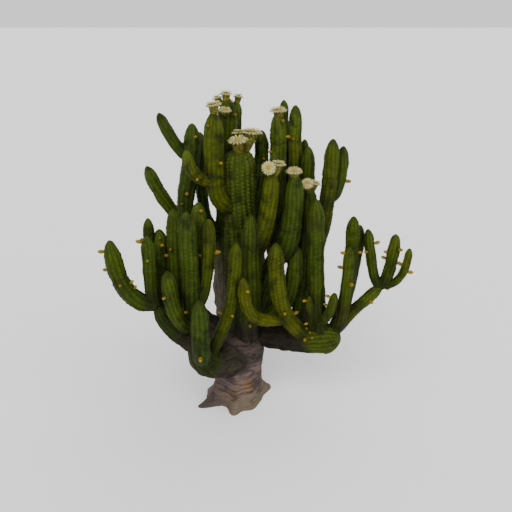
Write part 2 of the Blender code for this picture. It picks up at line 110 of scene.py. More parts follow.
# Arms, the upright ribbed columns, in the same columns
ARMS = [
    ("left_arm_1", "left_bough", 0.90, (-0.88, -1.00, 4.41), 0.177, 0.30),
    ("left_arm_2", "left_bough", 0.72, (-0.65, -1.40, 2.85), 0.177, 1.00, -0.06),
    ("left_arm_3", "left_arm_1", 0.30, (-0.48, -0.80, 4.22), 0.123, 0.85),
    ("left_arm_4", "left_arm_1", 0.28, (-0.70, -0.45, 4.44), 0.155, 0.85),
    ("left_arm_5", "left_side_bough", 0.45, (-1.17, -0.50, 4.32), 0.155, 0.85),
    ("left_arm_6", "left_side_bough", 0.72, (-1.46, -0.42, 3.90), 0.168, 0.85),
    ("left_arm_8", "left_side_bough", 0.98, (-1.60, -1.05, 3.97), 0.139, 0.75),
    ("left_arm_7", "left_arm_8", 0.14, (-1.66, -0.45, 4.13), 0.112, 0.90),
    ("left_arm_9", "left_side_bough", 0.97, (-2.29, -1.05, 3.89), 0.168, 0.80, 0.07),
    ("left_arm_10", "left_arm_1", 0.14, (-1.23, -1.32, 3.39), 0.150, 0.80, -0.10),
    ("front_arm_2", "trunk", 0.78, (0.30, -0.50, 4.24), 0.245, 0.95, 0.10),
    ("front_arm_1", "left_bough", 0.62, (0.02, -0.90, 3.78), 0.128, 0.80, -0.75),
    ("right_arm_9", "right_bough", 0.68, (0.76, -0.80, 3.75), 0.165, 1.00, -0.62),
    ("right_arm_10", "right_arm_9", 0.33, (0.15, -1.05, 3.15), 0.123, 1.10, 0.02),
    ("right_arm_1", "right_bough", 0.84, (1.51, -0.52, 4.52), 0.166, 0.75),
    ("right_arm_3", "right_bough", 0.88, (2.40, -0.25, 3.93), 0.138, 0.42),
    ("right_arm_2", "right_arm_3", 0.16, (2.23, -0.50, 4.18), 0.134, 0.75),
    ("right_arm_4", "right_arm_3", 0.10, (2.15, -0.72, 3.64), 0.118, 0.80),
    ("right_arm_5", "right_far_bough", 0.95, (3.06, -0.45, 3.81), 0.128, 0.60),
    ("right_arm_6", "right_far_bough", 0.97, (3.33, -0.50, 3.54), 0.083, 0.85, 0.02),
    ("right_arm_7", "right_far_bough", 0.93, (2.53, -0.38, 3.89), 0.107, 0.35),
    ("right_arm_8", "right_bough", 0.73, (1.42, -0.62, 2.60), 0.094, 0.30, -0.20),
    ("right_arm_11", "rear_right_stem", 0.12, (1.18, -0.22, 3.50), 0.178, 0.95),
    ("right_arm_12", "right_arm_8", 0.40, (1.90, -0.75, 2.72), 0.100, 0.75),
    ("top_left_arm_6", "leader", 0.72, (-0.39, -0.30, 6.10), 0.198, 1.35),
    ("top_left_arm_3", "top_left_arm_6", 0.40, (-0.89, -0.45, 5.43), 0.118, 0.90),
    ("top_left_arm_4", "rear_left_stem", 0.47, (-0.83, 0.20, 5.81), 0.175, 2.50, -0.50),
    ("top_left_arm_1", "top_left_arm_4", 0.75, (-1.47, 0.30, 5.99), 0.122, 0.30),
    ("top_left_arm_2", "rear_left_stem", 0.448, (-1.75, 0.30, 4.96), 0.135, 0.53),
    ("top_left_arm_5", "rear_left_stem", 0.48, (-0.71, 0.55, 5.58), 0.120, 1.30),
    ("top_left_arm_7", "rear_left_stem", 0.60, (0.00, 0.62, 6.19), 0.122, 0.85),
    ("top_arm_1", "leader", 0.55, (0.50, 0.42, 5.64), 0.148, 0.95),
    ("top_right_arm_7", "leader", 0.50, (0.68, -0.62, 5.07), 0.168, 0.80, 0.12),
    ("top_right_arm_8", "rear_right_stem", 0.90, (1.12, -0.52, 4.99), 0.185, 0.75),
    ("top_right_arm_1", "rear_right_stem", 0.80, (0.82, 0.30, 6.02), 0.171, 0.85),
    ("top_right_arm_6", "rear_right_stem", 0.90, (0.74, -0.15, 5.35), 0.123, 0.80),
    ("top_right_arm_3", "right_stem", 0.45, (1.14, 0.35, 6.13), 0.135, 0.85),
    ("top_right_arm_2", "right_stem", 0.50, (0.93, 0.70, 6.18), 0.102, 0.80),
    ("top_right_arm_4", "right_stem", 0.62, (1.39, 0.20, 5.37), 0.150, 0.90),
    ("top_right_arm_9", "right_stem", 0.52, (1.85, 0.05, 5.54), 0.155, 0.74),
    ("top_right_arm_10", "top_right_arm_9", 0.52, (2.07, 0.22, 5.37), 0.135, 0.80),
    ("top_right_arm_11", "top_right_arm_4", 0.30, (1.34, 0.50, 5.45), 0.094, 0.90),
    ("rear_arm_1", "rear_bough", 0.95, (-0.08, 1.30, 4.22), 0.161, 0.80),
    ("rear_arm_2", "rear_bough", 0.98, (0.37, 1.55, 4.37), 0.171, 0.60),
    ("rear_arm_3", "rear_bough", 0.70, (1.39, 1.15, 3.55), 0.150, 0.90),
    ("rear_arm_4", "rear_left_bough", 0.98, (-1.48, 0.95, 3.22), 0.150, 0.70),
    ("rear_arm_5", "rear_left_bough", 0.70, (-1.11, 1.15, 3.46), 0.150, 0.80),
    ("rear_arm_6", "rear_right_bough", 0.97, (1.65, 1.00, 3.75), 0.150, 0.70),
]

# Ripe fruit: places along each arm as (share of its length, bearing, any lift); bearing and lift are in
# degrees, and bearing 0 faces -Y and 90 faces +X
FRUIT = {
    "left_arm_9": [(0.87, -65), (0.65, -95), (0.48, 6), (0.43, 80), (0.34, 80)],
    "left_arm_8": [(0.95, -40), (0.90, -85), (0.67, 2)], "left_arm_6": [(0.90, 9), (0.82, 20), (0.70, 41)],
    "left_arm_5": [(0.67, -13)], "left_arm_10": [(0.67, -33)], "left_arm_1": [(0.28, -35), (0.25, 90)],
    "left_arm_2": [(0.32, 1)], "left_arm_4": [(0.92, 22)], "left_arm_3": [(0.58, -90), (0.63, 85)],
    "front_arm_1": [(0.45, 28), (0.42, -90)], "front_arm_2": [(0.25, 6)], "right_arm_10": [(0.84, 29)],
    "top_left_arm_4": [(0.43, -13), (0.90, 25), (0.50, 8)], "top_left_arm_6": [(0.87, -28), (0.55, 36)],
    "top_left_arm_3": [(0.37, -9)], "rear_left_stem": [(0.93, 43), (0.98, 37)], "top_arm_1": [(0.75, 15)],
    "top_right_arm_1": [(0.93, 21), (0.73, -51)], "top_right_arm_3": [(0.81, -50), (0.80, -18)],
    "top_right_arm_10": [(0.40, 90)], "right_arm_4": [(0.93, -70), (0.77, -85), (0.62, 20)],
    "right_arm_3": [(0.47, 12), (0.25, -90)], "right_arm_2": [(0.67, 80)],
    "right_arm_12": [(0.88, -90), (0.67, -90)], "right_arm_7": [(0.73, 85), (0.63, -44)],
    "right_arm_5": [(0.52, -90), (0.64, -80), (0.73, 38)], "right_arm_6": [(0.63, -90), (0.53, 90)],
    "right_far_bough": [(0.73, 27), (0.98, 78)],
    "right_bough": [(0.60, -4, 50), (0.64, 5, 58), (0.68, -5, 44), (0.63, 0, 20), (0.70, 8, 26)],
    "right_arm_11": [(0.68, -75), (0.52, 90)], "right_arm_9": [(0.42, 9), (0.33, 90)],
    "right_arm_8": [(0.90, -70), (0.40, -60)], "rear_arm_1": [(0.80, 170)], "rear_arm_3": [(0.75, 150)],
    "rear_arm_4": [(0.78, -160)], "rear_arm_6": [(0.82, 120)],
}

# Flowers: arm, centre of the open face, direction it faces, radius of the open face
FLOWERS = [
    ("rear_left_stem", (-0.18, 0.33, 6.37), (0.05, -0.05, 1.00), 0.125),
    ("rear_left_stem", (-0.36, 0.34, 6.29), (-0.25, 0.00, 1.00), 0.100),
    ("top_left_arm_7", (0.05, 0.60, 6.28), (0.12, 0.10, 1.00), 0.105),
    ("top_left_arm_6", (-0.39, -0.28, 6.25), (-0.15, -0.05, 1.00), 0.155),
    ("rear_left_stem", (-0.19, 0.05, 6.10), (0.02, -0.20, 1.00), 0.125),
    ("leader", (0.05, -0.33, 5.61), (-0.08, -0.20, 1.00), 0.190),
    ("leader", (0.09, -0.02, 5.70), (-0.05, 0.10, 1.00), 0.170),
    ("leader", (0.32, -0.08, 5.72), (0.08, -0.05, 1.00), 0.200),
    ("top_right_arm_1", (0.81, 0.25, 6.07), (-0.05, -0.10, 1.00), 0.170),
    ("top_right_arm_7", (0.61, -0.86, 5.19), (-0.15, -0.95, 0.35), 0.135),
    ("top_right_arm_7", (0.80, -0.56, 5.22), (0.08, 0.00, 1.00), 0.145),
    ("top_right_arm_8", (1.09, -0.50, 5.07), (0.02, -0.15, 1.00), 0.155),
    ("right_stem", (1.35, -0.28, 4.77), (-0.10, -0.60, 0.90), 0.140),
    ("right_stem", (1.53, -0.13, 4.75), (0.20, -0.05, 1.00), 0.100),
]

# Looks of single limbs; a limb takes the usual value of each look it doesn't name. olive: skin from 0, blue
# green, to 1, yellow olive. fresh: how far the upper skin pales, 1 as a rule; this is partly paler new growth
# and partly painted light, raised on arms that lie in shade. dusk: added to the painted shade that near limbs
# cast, below 0 taking some of it away. dots: how strongly the spine pads show. soot: how dark the bark is,
# 0.35 as a rule, and on the skin how strong the painted highlight on the rib crests and the painted shade in
# the grooves are. bark: shares of the length between which bark gives way to skin. rings: shares of the
# length where a season's growth ended in a pinched ring.
LOOKS = {
    "left_bough": dict(olive=0.60, fresh_and_lit=0.0, dusk=0.95, soot_and_rib_shading=0.30, bark=(0.50, 0.60)),
    "right_bough": dict(olive=0.70, fresh_and_lit=1.20, dusk=-0.45, soot_and_rib_shading=0.85, bark=(0.60, 0.74)),
    "left_side_bough": dict(olive=0.25, dusk=0.40, soot_and_rib_shading=0.50, bark=(0.22, 0.56)),
    "right_far_bough": dict(olive=0.70, fresh_and_lit=2.60, dusk=-0.30, bark=(-0.20, 0.10)),
    "rear_bough": dict(bark=(0.70, 0.95)), "rear_left_bough": dict(bark=(0.70, 0.95)),
    "rear_right_bough": dict(bark=(0.60, 0.90)),
    "leader": dict(olive=0.28, fresh_and_lit=2.50, dusk=-0.60, dots=1.0, soot_and_rib_shading=0.60, bark=(0.09, 0.17),
                   rings=[0.62]),
    "rear_left_stem": dict(olive=0.50, soot_and_rib_shading=0.0, bark=(0.24, 0.46)),
    "rear_right_stem": dict(olive=0.30, bark=(0.10, 0.40)),
    "right_stem": dict(olive=0.55, bark=(-0.05, 0.12), rings=[0.30]),
    "left_arm_1": dict(olive=0.35, fresh_and_lit=0.60, dots=0.45), "left_arm_2": dict(olive=0.05, rings=[]),
    "left_arm_3": dict(olive=0.70), "left_arm_4": dict(olive=0.40, fresh_and_lit=2.80, dusk=-0.25, dots=0.45),
    "left_arm_5": dict(olive=0.30, fresh_and_lit=1.60), "left_arm_6": dict(olive=0.40, fresh_and_lit=2.60, dusk=-0.30),
    "left_arm_8": dict(olive=0.35), "left_arm_7": dict(olive=0.45, fresh_and_lit=1.60),
    "left_arm_9": dict(olive=0.45, rings=[0.55]), "left_arm_10": dict(olive=0.50),
    "front_arm_2": dict(olive=0.45, dots=0.45, soot_and_rib_shading=0.75, bark=(0.20, 0.34)),
    "front_arm_1": dict(olive=0.70, dots=0.40, bark=(0.02, 0.16)),
    "right_arm_9": dict(olive=0.95, dots=0.55), "right_arm_10": dict(olive=1.0),
    "right_arm_1": dict(olive=0.45, dots=0.60), "right_arm_3": dict(olive=0.65, dots=0.40, rings=[0.55]),
    "right_arm_2": dict(olive=0.60, fresh_and_lit=0.20, dots=0.40, rings=[0.50, 0.74]),
    "right_arm_4": dict(olive=0.60), "right_arm_5": dict(olive=0.60, rings=[0.45]),
    "right_arm_6": dict(olive=0.75), "right_arm_7": dict(olive=0.50), "right_arm_8": dict(olive=0.80),
    "right_arm_11": dict(olive=0.20, fresh_and_lit=3.00, dusk=-0.35), "right_arm_12": dict(olive=0.50),
    "top_left_arm_6": dict(olive=0.80, rings=[0.36, 0.60, 0.80]),
    "top_left_arm_3": dict(olive=1.20, fresh_and_lit=4.00, dusk=-0.40, rings=[0.62]),
    "top_left_arm_4": dict(olive=0.08, fresh_and_lit=1.50), "top_left_arm_1": dict(olive=0.32),
    "top_left_arm_2": dict(olive=0.45), "top_left_arm_5": dict(olive=0.10, fresh_and_lit=2.20, dusk=-0.30),
    "top_left_arm_7": dict(olive=0.45, fresh_and_lit=2.00), "top_arm_1": dict(olive=0.05, fresh_and_lit=2.40, dusk=-0.40),
    "top_right_arm_7": dict(olive=0.90, rings=[0.30]), "top_right_arm_8": dict(olive=0.30, rings=[0.42]),
    "top_right_arm_1": dict(olive=0.32, fresh_and_lit=3.00, dusk=-0.25),
    "top_right_arm_6": dict(olive=0.40, rings=[0.72]),
    "top_right_arm_3": dict(olive=0.75, fresh_and_lit=2.80, dusk=-0.25), "top_right_arm_2": dict(olive=0.40),
    "top_right_arm_4": dict(olive=0.50), "top_right_arm_9": dict(olive=0.65, dots=0.35, rings=[0.45, 0.70]),
    "top_right_arm_10": dict(olive=0.50), "top_right_arm_11": dict(olive=0.35),
}

# What each point of a column carries for its finish, the painted shade from near limbs and the painted light
# of the upper skin among them
SKIN_VALUES = ("olive", "wood", "fold", "dots", "soot_and_rib_shading", "fresh_and_lit", "crowd")

# Stains on the trunk's bark: centre, reach, colour and strength
STAINS = [
    ((0.24, -0.52, 0.50), 0.26, (0.150, 0.072, 0.014), 0.75),
    ((-0.28, -0.48, 0.62), 0.26, (0.030, 0.021, 0.040), 0.80),
    ((-0.10, -0.55, 0.36), 0.24, (0.120, 0.080, 0.026), 0.60),
    ((-0.66, -0.42, 0.12), 0.62, (0.044, 0.033, 0.027), 0.90),
]


def even(points, shares):
    """Points at the given shares of the length of a line."""
    steps = np.linalg.norm(np.diff(points, axis=0), axis=1)
    length = np.concatenate([[0.0], np.cumsum(steps)])
    wanted = np.asarray(shares) * length[-1]
    return np.stack([np.interp(wanted, length, points[:, k]) for k in range(3)], axis=-1)


def unit(vectors):
    """Each vector made one long."""
    return vectors / np.linalg.norm(vectors, axis=-1, keepdims=True)


def limb_axis(start, top, hug, dip=0.0):
    """Cubic curve from the parent's axis out and up to the limb's top. The first control point lies out by
    0.85 hug times the level span and down by the dip, the second below the top by 0.55 hug times the rise,
    and where hug is under 1 both move inward by (1 - hug) / 3 of the span."""
    start = np.array(start, float)
    top = np.array(top, float)
    span = top - start
    flat = np.array([span[0], span[1], 0.0])
    slack = max(0.0, 1 - hug) * span / 3
    first = start + 0.85 * hug * flat + slack - dip * UP
    second = top - 0.55 * min(hug, 1.3) * span[2] * UP - slack
    t = np.linspace(0, 1, AXIS_POINTS)[:, None]
    raw = (1 - t) ** 3 * start + 3 * (1 - t) ** 2 * t * first + 3 * (1 - t) * t * t * second + t ** 3 * top
    return even(raw, np.linspace(0, 1, AXIS_POINTS))


def limb_radius(shares, length, radius, taper, foot, cap_length):
    """Radius along a limb: the foot grows or shrinks to the full radius by smoothstep, a straight taper
    follows, and over the tip it is times (1 - u^2)^0.58, with u from 0 at the tip's start to 1 at its end."""
    along = np.asarray(shares) * length
    foot_width, foot_length = foot
    past_foot = np.clip(along / (foot_length * radius), 0, 1)
    swell = foot_width + (1 - foot_width) * past_foot * past_foot * (3 - 2 * past_foot)
    cap = cap_length * radius
    past = np.clip((along - (length - cap)) / cap, 0, 1)
    return radius * (1 - taper * np.asarray(shares)) * swell * np.clip(1 - past ** 2, 0.0, 1) ** TIP_SHAPE


def smooth(low, high, value):
    """Smoothstep: 0 below low, 1 above high, 3t^2 - 2t^3 between."""
    t = np.clip((value - low) / (high - low), 0, 1)
    return t * t * (3 - 2 * t)


HASH_PRIMES = np.array([73856093, 19349663, 83492791])
SEED_PRIME = 374761393
MIX_PRIME = 1274126177


def lumps(points, size, seed):
    """Smooth random height between -1 and 1: hashed values on the corners of a lattice of the given size,
    blended across each cell by smoothstep in x, y and z."""
    place = points / np.asarray(size, float) + seed * 7.31
    cell = np.floor(place).astype(np.int64)
    inside = place - cell
    blend = inside * inside * (3 - 2 * inside)
    total = np.zeros(points.shape[:-1])
    for corner in range(8):
        step = np.array([corner & 1, corner >> 1 & 1, corner >> 2 & 1])
        spot = (cell + step) * HASH_PRIMES
        key = spot[..., 0] ^ spot[..., 1] ^ spot[..., 2] ^ (seed * SEED_PRIME)
        key = (key ^ (key >> 13)) * MIX_PRIME
        key = (key ^ (key >> 16)) & 0xFFFF
        weight = np.where(step == 1, blend, 1 - blend).prod(axis=-1)
        total += weight * (key / 32767.5 - 1)
    return total


# ---- materials
def by_node(operation, backwards=False):
    """A method that puts its level and the other value through one kind of Math node."""
    def method(level, *others):
        values = (level, *others)
        return level.finish.maths(operation, *(values[::-1] if backwards else values))
    return method


class Level:
    """A number that varies over a surface. Plain arithmetic on it adds the Math nodes."""

    def __init__(self, finish, socket):
        self.finish = finish
        self.socket = socket

    __add__ = __radd__ = by_node("ADD")
    __sub__ = by_node("SUBTRACT")
    __rsub__ = by_node("SUBTRACT", backwards=True)
    __mul__ = __rmul__ = by_node("MULTIPLY")
    __truediv__ = by_node("DIVIDE")
    __pow__ = by_node("POWER")
    __abs__ = by_node("ABSOLUTE")
    fraction = by_node("FRACT")
    whole = by_node("FLOOR")


class Finish:
    """A material in the making. node() adds any node, and constants go on the shader's own sockets."""

    def __init__(self, name, **constants):
        self.material = bpy.data.materials.new(name)
        self.material.use_nodes = True
        self.tree = self.material.node_tree
        self.tree.nodes.clear()
        end = self.tree.nodes.new("ShaderNodeOutputMaterial")
        self.shader = self.tree.nodes.new("ShaderNodeBsdfPrincipled")
        self.tree.links.new(self.shader.outputs["BSDF"], end.inputs["Surface"])
        self.give(**constants)

    def give(self, **values):
        """Sets or links the shader's own sockets, named with underscores for spaces."""
        for key, value in values.items():
            self.feed(self.shader.inputs[key.replace("_", " ")], value)

    def feed(self, socket, value):
        if isinstance(value, Level):
            self.tree.links.new(value.socket, socket)
        elif isinstance(value, tuple) and len(value) == 3 and socket.type == "RGBA":
            socket.default_value = (*value, 1.0)
        else:
            socket.default_value = value

    def node(self, kind, settings=None, sockets=None, output=0):
        """Adds one node: its settings first, then the values or links of its sockets. Returns one
        output."""
        node = self.tree.nodes.new(kind)
        for key, value in (settings or {}).items():
            setattr(node, key, value)
        for key, value in (sockets or {}).items():
            self.feed(node.inputs[key], value)
        return Level(self, node.outputs[output])

    def maths(self, operation, *values):
        return self.node("ShaderNodeMath", {"operation": operation}, dict(enumerate(values)))

    def smooth(self, low, high, value):
        """Smoothstep of a level between two numbers."""
        return self.node("ShaderNodeMapRange", {"interpolation_type": "SMOOTHSTEP"},
                         {"Value": value, "From Min": low, "From Max": high})

    def mix(self, factor, first, second):
        return self.node("ShaderNodeMix", {"data_type": "RGBA"}, {0: factor, 6: first, 7: second}, 2)

    def layer(self, colour, *steps):
        """Lays tints over a colour one after another, each as far as its own mask says."""
        for mask, tint in steps:
            colour = self.mix(mask, colour, tint)
        return colour

    def noise(self, place, scale, detail=3.0, rough=0.55, warp=0.0):
        return self.node("ShaderNodeTexNoise", {}, {"Vector": place, "Scale": scale, "Detail": detail,
                                                    "Roughness": rough, "Distortion": warp})

    def stretch(self, place, *scale):
        return self.node("ShaderNodeMapping", {}, {"Vector": place, "Scale": scale})

    def place(self):
        """The place on the object, in metres."""
        return self.node("ShaderNodeTexCoord", output=3)

    def parts(self, vector):
        """The x, y and z of a vector."""
        node = self.node("ShaderNodeSeparateXYZ", {}, {"Vector": vector}).socket.node
        return [Level(self, output) for output in node.outputs]

    def attribute(self, name):
        return self.node("ShaderNodeAttribute", {"attribute_name": name}, {}, 2)

    def relief(self, height, strength, distance):
        self.give(Normal=self.node("ShaderNodeBump", {}, {"Height": height, "Strength": strength,
                                                          "Distance": distance}))


def bark_colour(finish, place):
    """Bark on boughs and stem feet: charcoal brown with warm patches and fine grey flecks."""
    broad = finish.noise(place, 2.2, 4.0, 0.6)
    fine = finish.noise(finish.stretch(place, 14.0, 14.0, 14.0), 3.0, 5.0, 0.7)
    warm = finish.noise(place, 5.0, 3.0)
    colour = finish.mix(finish.smooth(0.30, 0.70, broad), (0.016, 0.013, 0.009), (0.050, 0.041, 0.028))
    return finish.layer(
        colour,
        (finish.smooth(0.50, 0.75, warm) * 0.6, (0.056, 0.044, 0.018)),
        (finish.smooth(0.50, 0.72, fine) * 0.4, (0.10, 0.088, 0.070)),
    )


def make_flesh():
    """Skin of the ribbed columns. Across a rib the level runs 0 at the crest to 1 in the groove; spine pads
    sit on the crest every 75 mm, shifted from rib to rib; skin turns to bark by the wood attribute. Painted
    highlight lightens the rib crests, painted shade darkens the grooves and the skin where near limbs crowd,
    and the upper skin is paler, partly from new growth and partly from painted light."""
    finish = Finish("column_skin", Specular_IOR_Level=0.05)
    place = finish.place()
    map_place = finish.node("ShaderNodeUVMap", {"uv_map": "skin"})
    turn, along, _ = finish.parts(map_place)
    olive, wood, fold, dots, soot_and_rib_shading, fresh_and_lit, crowd = map(finish.attribute, SKIN_VALUES)
    skin = 1 - wood
    across = abs(turn.fraction() - 0.5) * 2
    # groove, crest and line are masks across the rib: painted shade in the grooves, painted highlight on the
    # crests
    groove = finish.smooth(0.35, 1.0, across) * skin
    crest = (1 - finish.smooth(0.05, 0.60, across)) * skin
    line = finish.smooth(0.74, 0.98, across) * skin
    step = abs((along / SPACING + (turn.whole() * RIB_SHIFT).fraction()).fraction() - 0.5) * 2
    near = ((across * across) * 1.1 + (step * step)) ** 0.5
    pad = (1 - finish.smooth(0.14, 0.40 + dots * 0.16, near)) * skin
    speck = (1 - finish.smooth(0.05, 0.15, near)) * skin

    broad = finish.noise(place, 1.6, 3.0)
    patch = finish.noise(place, 6.0, 4.0, 0.6)
    shade = finish.noise(place, 3.0, 5.0, 0.65, 0.3)
    fleck = finish.noise(place, 46.0, 3.0, 0.6)
    worn = finish.noise(finish.stretch(place, 1.0, 1.0, 0.45), 4.2, 5.0, 0.65)
    streak = finish.noise(finish.stretch(map_place, 1.5, 1.1, 1.0), 2.2, 5.0, 0.65)
    wrinkle = finish.noise(finish.stretch(map_place, 0.9, 20.0, 1.0), 1.3, 4.0, 0.6, 0.3)
    grain = finish.noise(finish.stretch(map_place, 2.0, 1.4, 1.0), 1.6, 6.0, 0.7, 0.4)
    hue = olive + (broad - 0.5) * 0.9 + (patch - 0.5) * 0.6
    green = finish.mix(finish.smooth(0.05, 0.55, hue), (0.014, 0.034, 0.0030), (0.025, 0.045, 0.0014))
    green = finish.layer(
        green,
        (finish.smooth(0.45, 1.05, hue), (0.060, 0.067, 0.0014)),
        (finish.smooth(0.50, 0.80, streak) * 0.55, (0.066, 0.090, 0.0040)),
        (finish.smooth(0.50, 0.30, streak) * 0.55, (0.011, 0.017, 0.0014)),
        (finish.smooth(0.48, 0.70, patch) * (1 - olive) * 0.50, (0.040, 0.060, 0.021)),
        # paler upper skin: partly paler new growth, partly painted light on arms that lie in shade
        (fresh_and_lit * 0.24, (0.068, 0.097, 0.010)),
        # painted highlight on the rib crests, then painted shade in the grooves, both stronger with soot
        (crest * (0.12 + soot_and_rib_shading * 0.16), (0.085, 0.095, 0.0050)),
        (groove * (0.06 + broad * 0.28 + soot_and_rib_shading * 0.30), (0.0065, 0.0105, 0.0014)),
        (finish.smooth(0.49, 0.68, worn) * 0.66, (0.019, 0.021, 0.0030)),
        (finish.smooth(0.53, 0.33, shade) * 0.74, (0.006, 0.010, 0.0014)),
        (finish.smooth(0.52, 0.30, wrinkle) * 0.30, (0.008, 0.011, 0.0015)),
        (finish.smooth(0.58, 0.74, fleck) * 0.35, (0.048, 0.047, 0.010)),
        # painted shade along the bottom of each groove
        (line * (0.10 + broad * 0.30), (0.0060, 0.0090, 0.0014)),
        (fold * 0.45, (0.018, 0.016, 0.004)),
        (pad * (0.26 + dots * 0.60), (0.0060, 0.0060, 0.0030)),
        (speck * (0.16 + dots * 0.58), (0.21, 0.20, 0.14)),
    )
    bark = finish.layer(
        bark_colour(finish, place),
        (finish.smooth(0.35, 0.0, soot_and_rib_shading) * 0.75, (0.140, 0.121, 0.090)),
        (finish.smooth(0.35, 1.0, soot_and_rib_shading) * 0.85, (0.0080, 0.0064, 0.0050)),
        (finish.smooth(0.50, 0.36, grain) * 0.75, (0.006, 0.005, 0.0035)),
        (finish.smooth(0.54, 0.70, grain) * 0.50, (0.064, 0.054, 0.038)),
    )
    # painted shade: the skin darkens toward near black where near limbs crowd, less on bark
    shaded = finish.smooth(0.35, 1.0, crowd) * (0.54 - wood * 0.29)
    finish.give(Base_Color=finish.mix(shaded, finish.mix(wood, green, bark), (0.0040, 0.0048, 0.0022)),
                Roughness=0.58 + wood * 0.30 + (patch - 0.5) * 0.25)
    height = patch * 0.5 + fleck * 0.25 + streak * 0.4 + wrinkle * 0.45 - pad * (0.5 + dots * 0.6)
    finish.relief(height + wood * (fleck * 0.9 + grain * 2.0), 0.60, 0.014)
    return finish.material


def make_trunk_bark():
    """Bark of the trunk: purple brown folds and a few stains, paling to tan toward the ground, with painted
    shade in the creases of the folds, round the feet of the limbs and where near limbs crowd.
    """
    finish = Finish("trunk_bark", Specular_IOR_Level=0.12)
    place = finish.place()
    sideways, _, height = finish.parts(place)
    flat = finish.stretch(place, 1.0, 1.0, 5.0)
    broad = finish.noise(place, 2.6, 4.0, 0.6)
    bands = finish.noise(flat, 3.2, 6.0, 0.68, 0.4)
    fine = finish.noise(flat, 11.0, 5.0, 0.7)
    crinkle = finish.noise(finish.stretch(place, 1.0, 1.0, 7.0), 10.5, 5.0, 0.66, 0.6)
    low = finish.smooth(0.36, 0.02, height - sideways * 0.34 + (broad - 0.5) * 0.45)
    colour = finish.mix(finish.smooth(0.32, 0.68, broad), (0.090, 0.060, 0.055), (0.136, 0.097, 0.077))
    colour = finish.layer(
        colour,
        (finish.smooth(0.48, 0.72, bands) * 0.50, (0.160, 0.124, 0.098)),
        (finish.smooth(0.44, 0.30, bands) * 0.45, (0.030, 0.020, 0.016)),
        (low * 0.85, (0.112, 0.086, 0.056)),
    )
    for spot, reach, tint, strength in STAINS:
        away = finish.node("ShaderNodeVectorMath", {"operation": "DISTANCE"}, {0: place, 1: spot}, 1)
        mask = finish.smooth(reach, 0.02, away + (bands - 0.5) * 0.35) * strength
        colour = finish.mix(mask, colour, tint)
    colour = finish.layer(
        colour,
        (finish.smooth(0.45, 0.33, crinkle) * 0.50, (0.024, 0.016, 0.014)),
        (finish.smooth(0.56, 0.70, crinkle) * 0.28, (0.180, 0.140, 0.118)),
        # painted shade in the creases of the folds and round the feet of the boughs and leader (dip), then
        # where near limbs crowd (crowd)
        (finish.smooth(0.14, 0.70, finish.attribute("dip")) * 0.72, (0.014, 0.010, 0.009)),
        (finish.smooth(0.50, 1.0, finish.attribute("crowd")) * 0.60, (0.0075, 0.0055, 0.0050)),
        (finish.smooth(0.58, 0.75, fine) * 0.22, (0.20, 0.170, 0.140)),
    )
    finish.give(Base_Color=colour, Roughness=0.78 + (fine - 0.5) * 0.3)
    finish.relief(bands * 0.7 + fine * 0.5 + crinkle * 0.9, 0.8, 0.022)
    return finish.material


def make_plain(name, colour, other, scale, roughness=0.6, bump=0.5, gloss=0.2):
    """A small part's finish: one colour drifting into another by fine noise, with a matching bump."""
    finish = Finish(name, Specular_IOR_Level=gloss)
    grain = finish.noise(finish.place(), scale)
    finish.give(Base_Color=finish.mix(finish.smooth(0.35, 0.65, grain), colour, other),
                Roughness=roughness + (grain - 0.5) * 0.2)
    finish.relief(grain, bump, 0.004)
    return finish.material


# ---- meshes
def add_object(name, data):
    """A new object in the scene for a mesh, a light or a camera."""
    item = bpy.data.objects.new(name, data)
    bpy.context.scene.collection.objects.link(item)
    return item


def add_piece(name, verts, faces, material, slot, replaces=None, uv=None, values=None):
    """One mesh object from whole arrays: faces is a list of index arrays, three or four corners wide."""
    mesh = bpy.data.meshes.new(name)
    corners = np.concatenate([part.ravel() for part in faces]).astype(np.int32)
    sizes = np.concatenate([np.full(len(part), part.shape[1]) for part in faces])
    starts = np.concatenate([[0], np.cumsum(sizes)[:-1]]).astype(np.int32)
    mesh.vertices.add(len(verts))
    mesh.vertices.foreach_set("co", np.ascontiguousarray(verts, np.float32).ravel())
    mesh.loops.add(len(corners))
    mesh.loops.foreach_set("vertex_index", corners)
    mesh.polygons.add(len(sizes))
    mesh.polygons.foreach_set("loop_start", starts)
    mesh.update(calc_edges=True)
    mesh.polygons.foreach_set("use_smooth", np.ones(len(sizes), bool))
    if uv is not None:
        layer = mesh.uv_layers.new(name="skin")
        layer.uv.foreach_set("vector", np.ascontiguousarray(uv, np.float32).ravel())
    for key, value in (values or {}).items():
        attribute = mesh.attributes.new(key, "FLOAT", "POINT")
        attribute.data.foreach_set("value", np.ascontiguousarray(value, np.float32).ravel())
    mesh.materials.append(material)
    piece = add_object(name, mesh)
    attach(piece, "root")
    if replaces:
        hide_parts(replaces)


def full_turn(columns):
    """Equal steps round a circle, in radians."""
    return np.arange(columns) * 2 * math.pi / columns


def corner_map(*corners):
    """The (column, row) pairs of every face's corners, in their order."""
    pairs = [np.stack(np.broadcast_arrays(*pair), axis=-1) for pair in corners]
    return np.stack(pairs, axis=-2).reshape(-1, 2)


def round_faces(rows, columns):
    """Faces of a closed tube of rings with a pole at each end, and each corner's (column, row) on a map
    that runs on past the seam."""
    row = np.arange(rows - 1)[:, None]
    column = np.arange(columns)
    after = (column + 1) % columns
    a = row * columns + column
    b = row * columns + after
    quads = np.stack([a, b, b + columns, a + columns], axis=-1).reshape(-1, 4)
    pole = np.full(columns, rows * columns)
    last = (rows - 1) * columns
    fans = np.concatenate([np.stack([pole, after, column], axis=-1),
                           np.stack([pole + 1, last + column, last + after], axis=-1)])
    where = np.concatenate([
        corner_map((column, row), (column + 1, row), (column + 1, row + 1), (column, row + 1)),
        corner_map((column + 0.5, 0), (column + 1, 0), (column, 0)),
        corner_map((column + 0.5, rows - 1), (column, rows - 1), (column + 1, rows - 1)),
    ])
    return [quads, fans], where


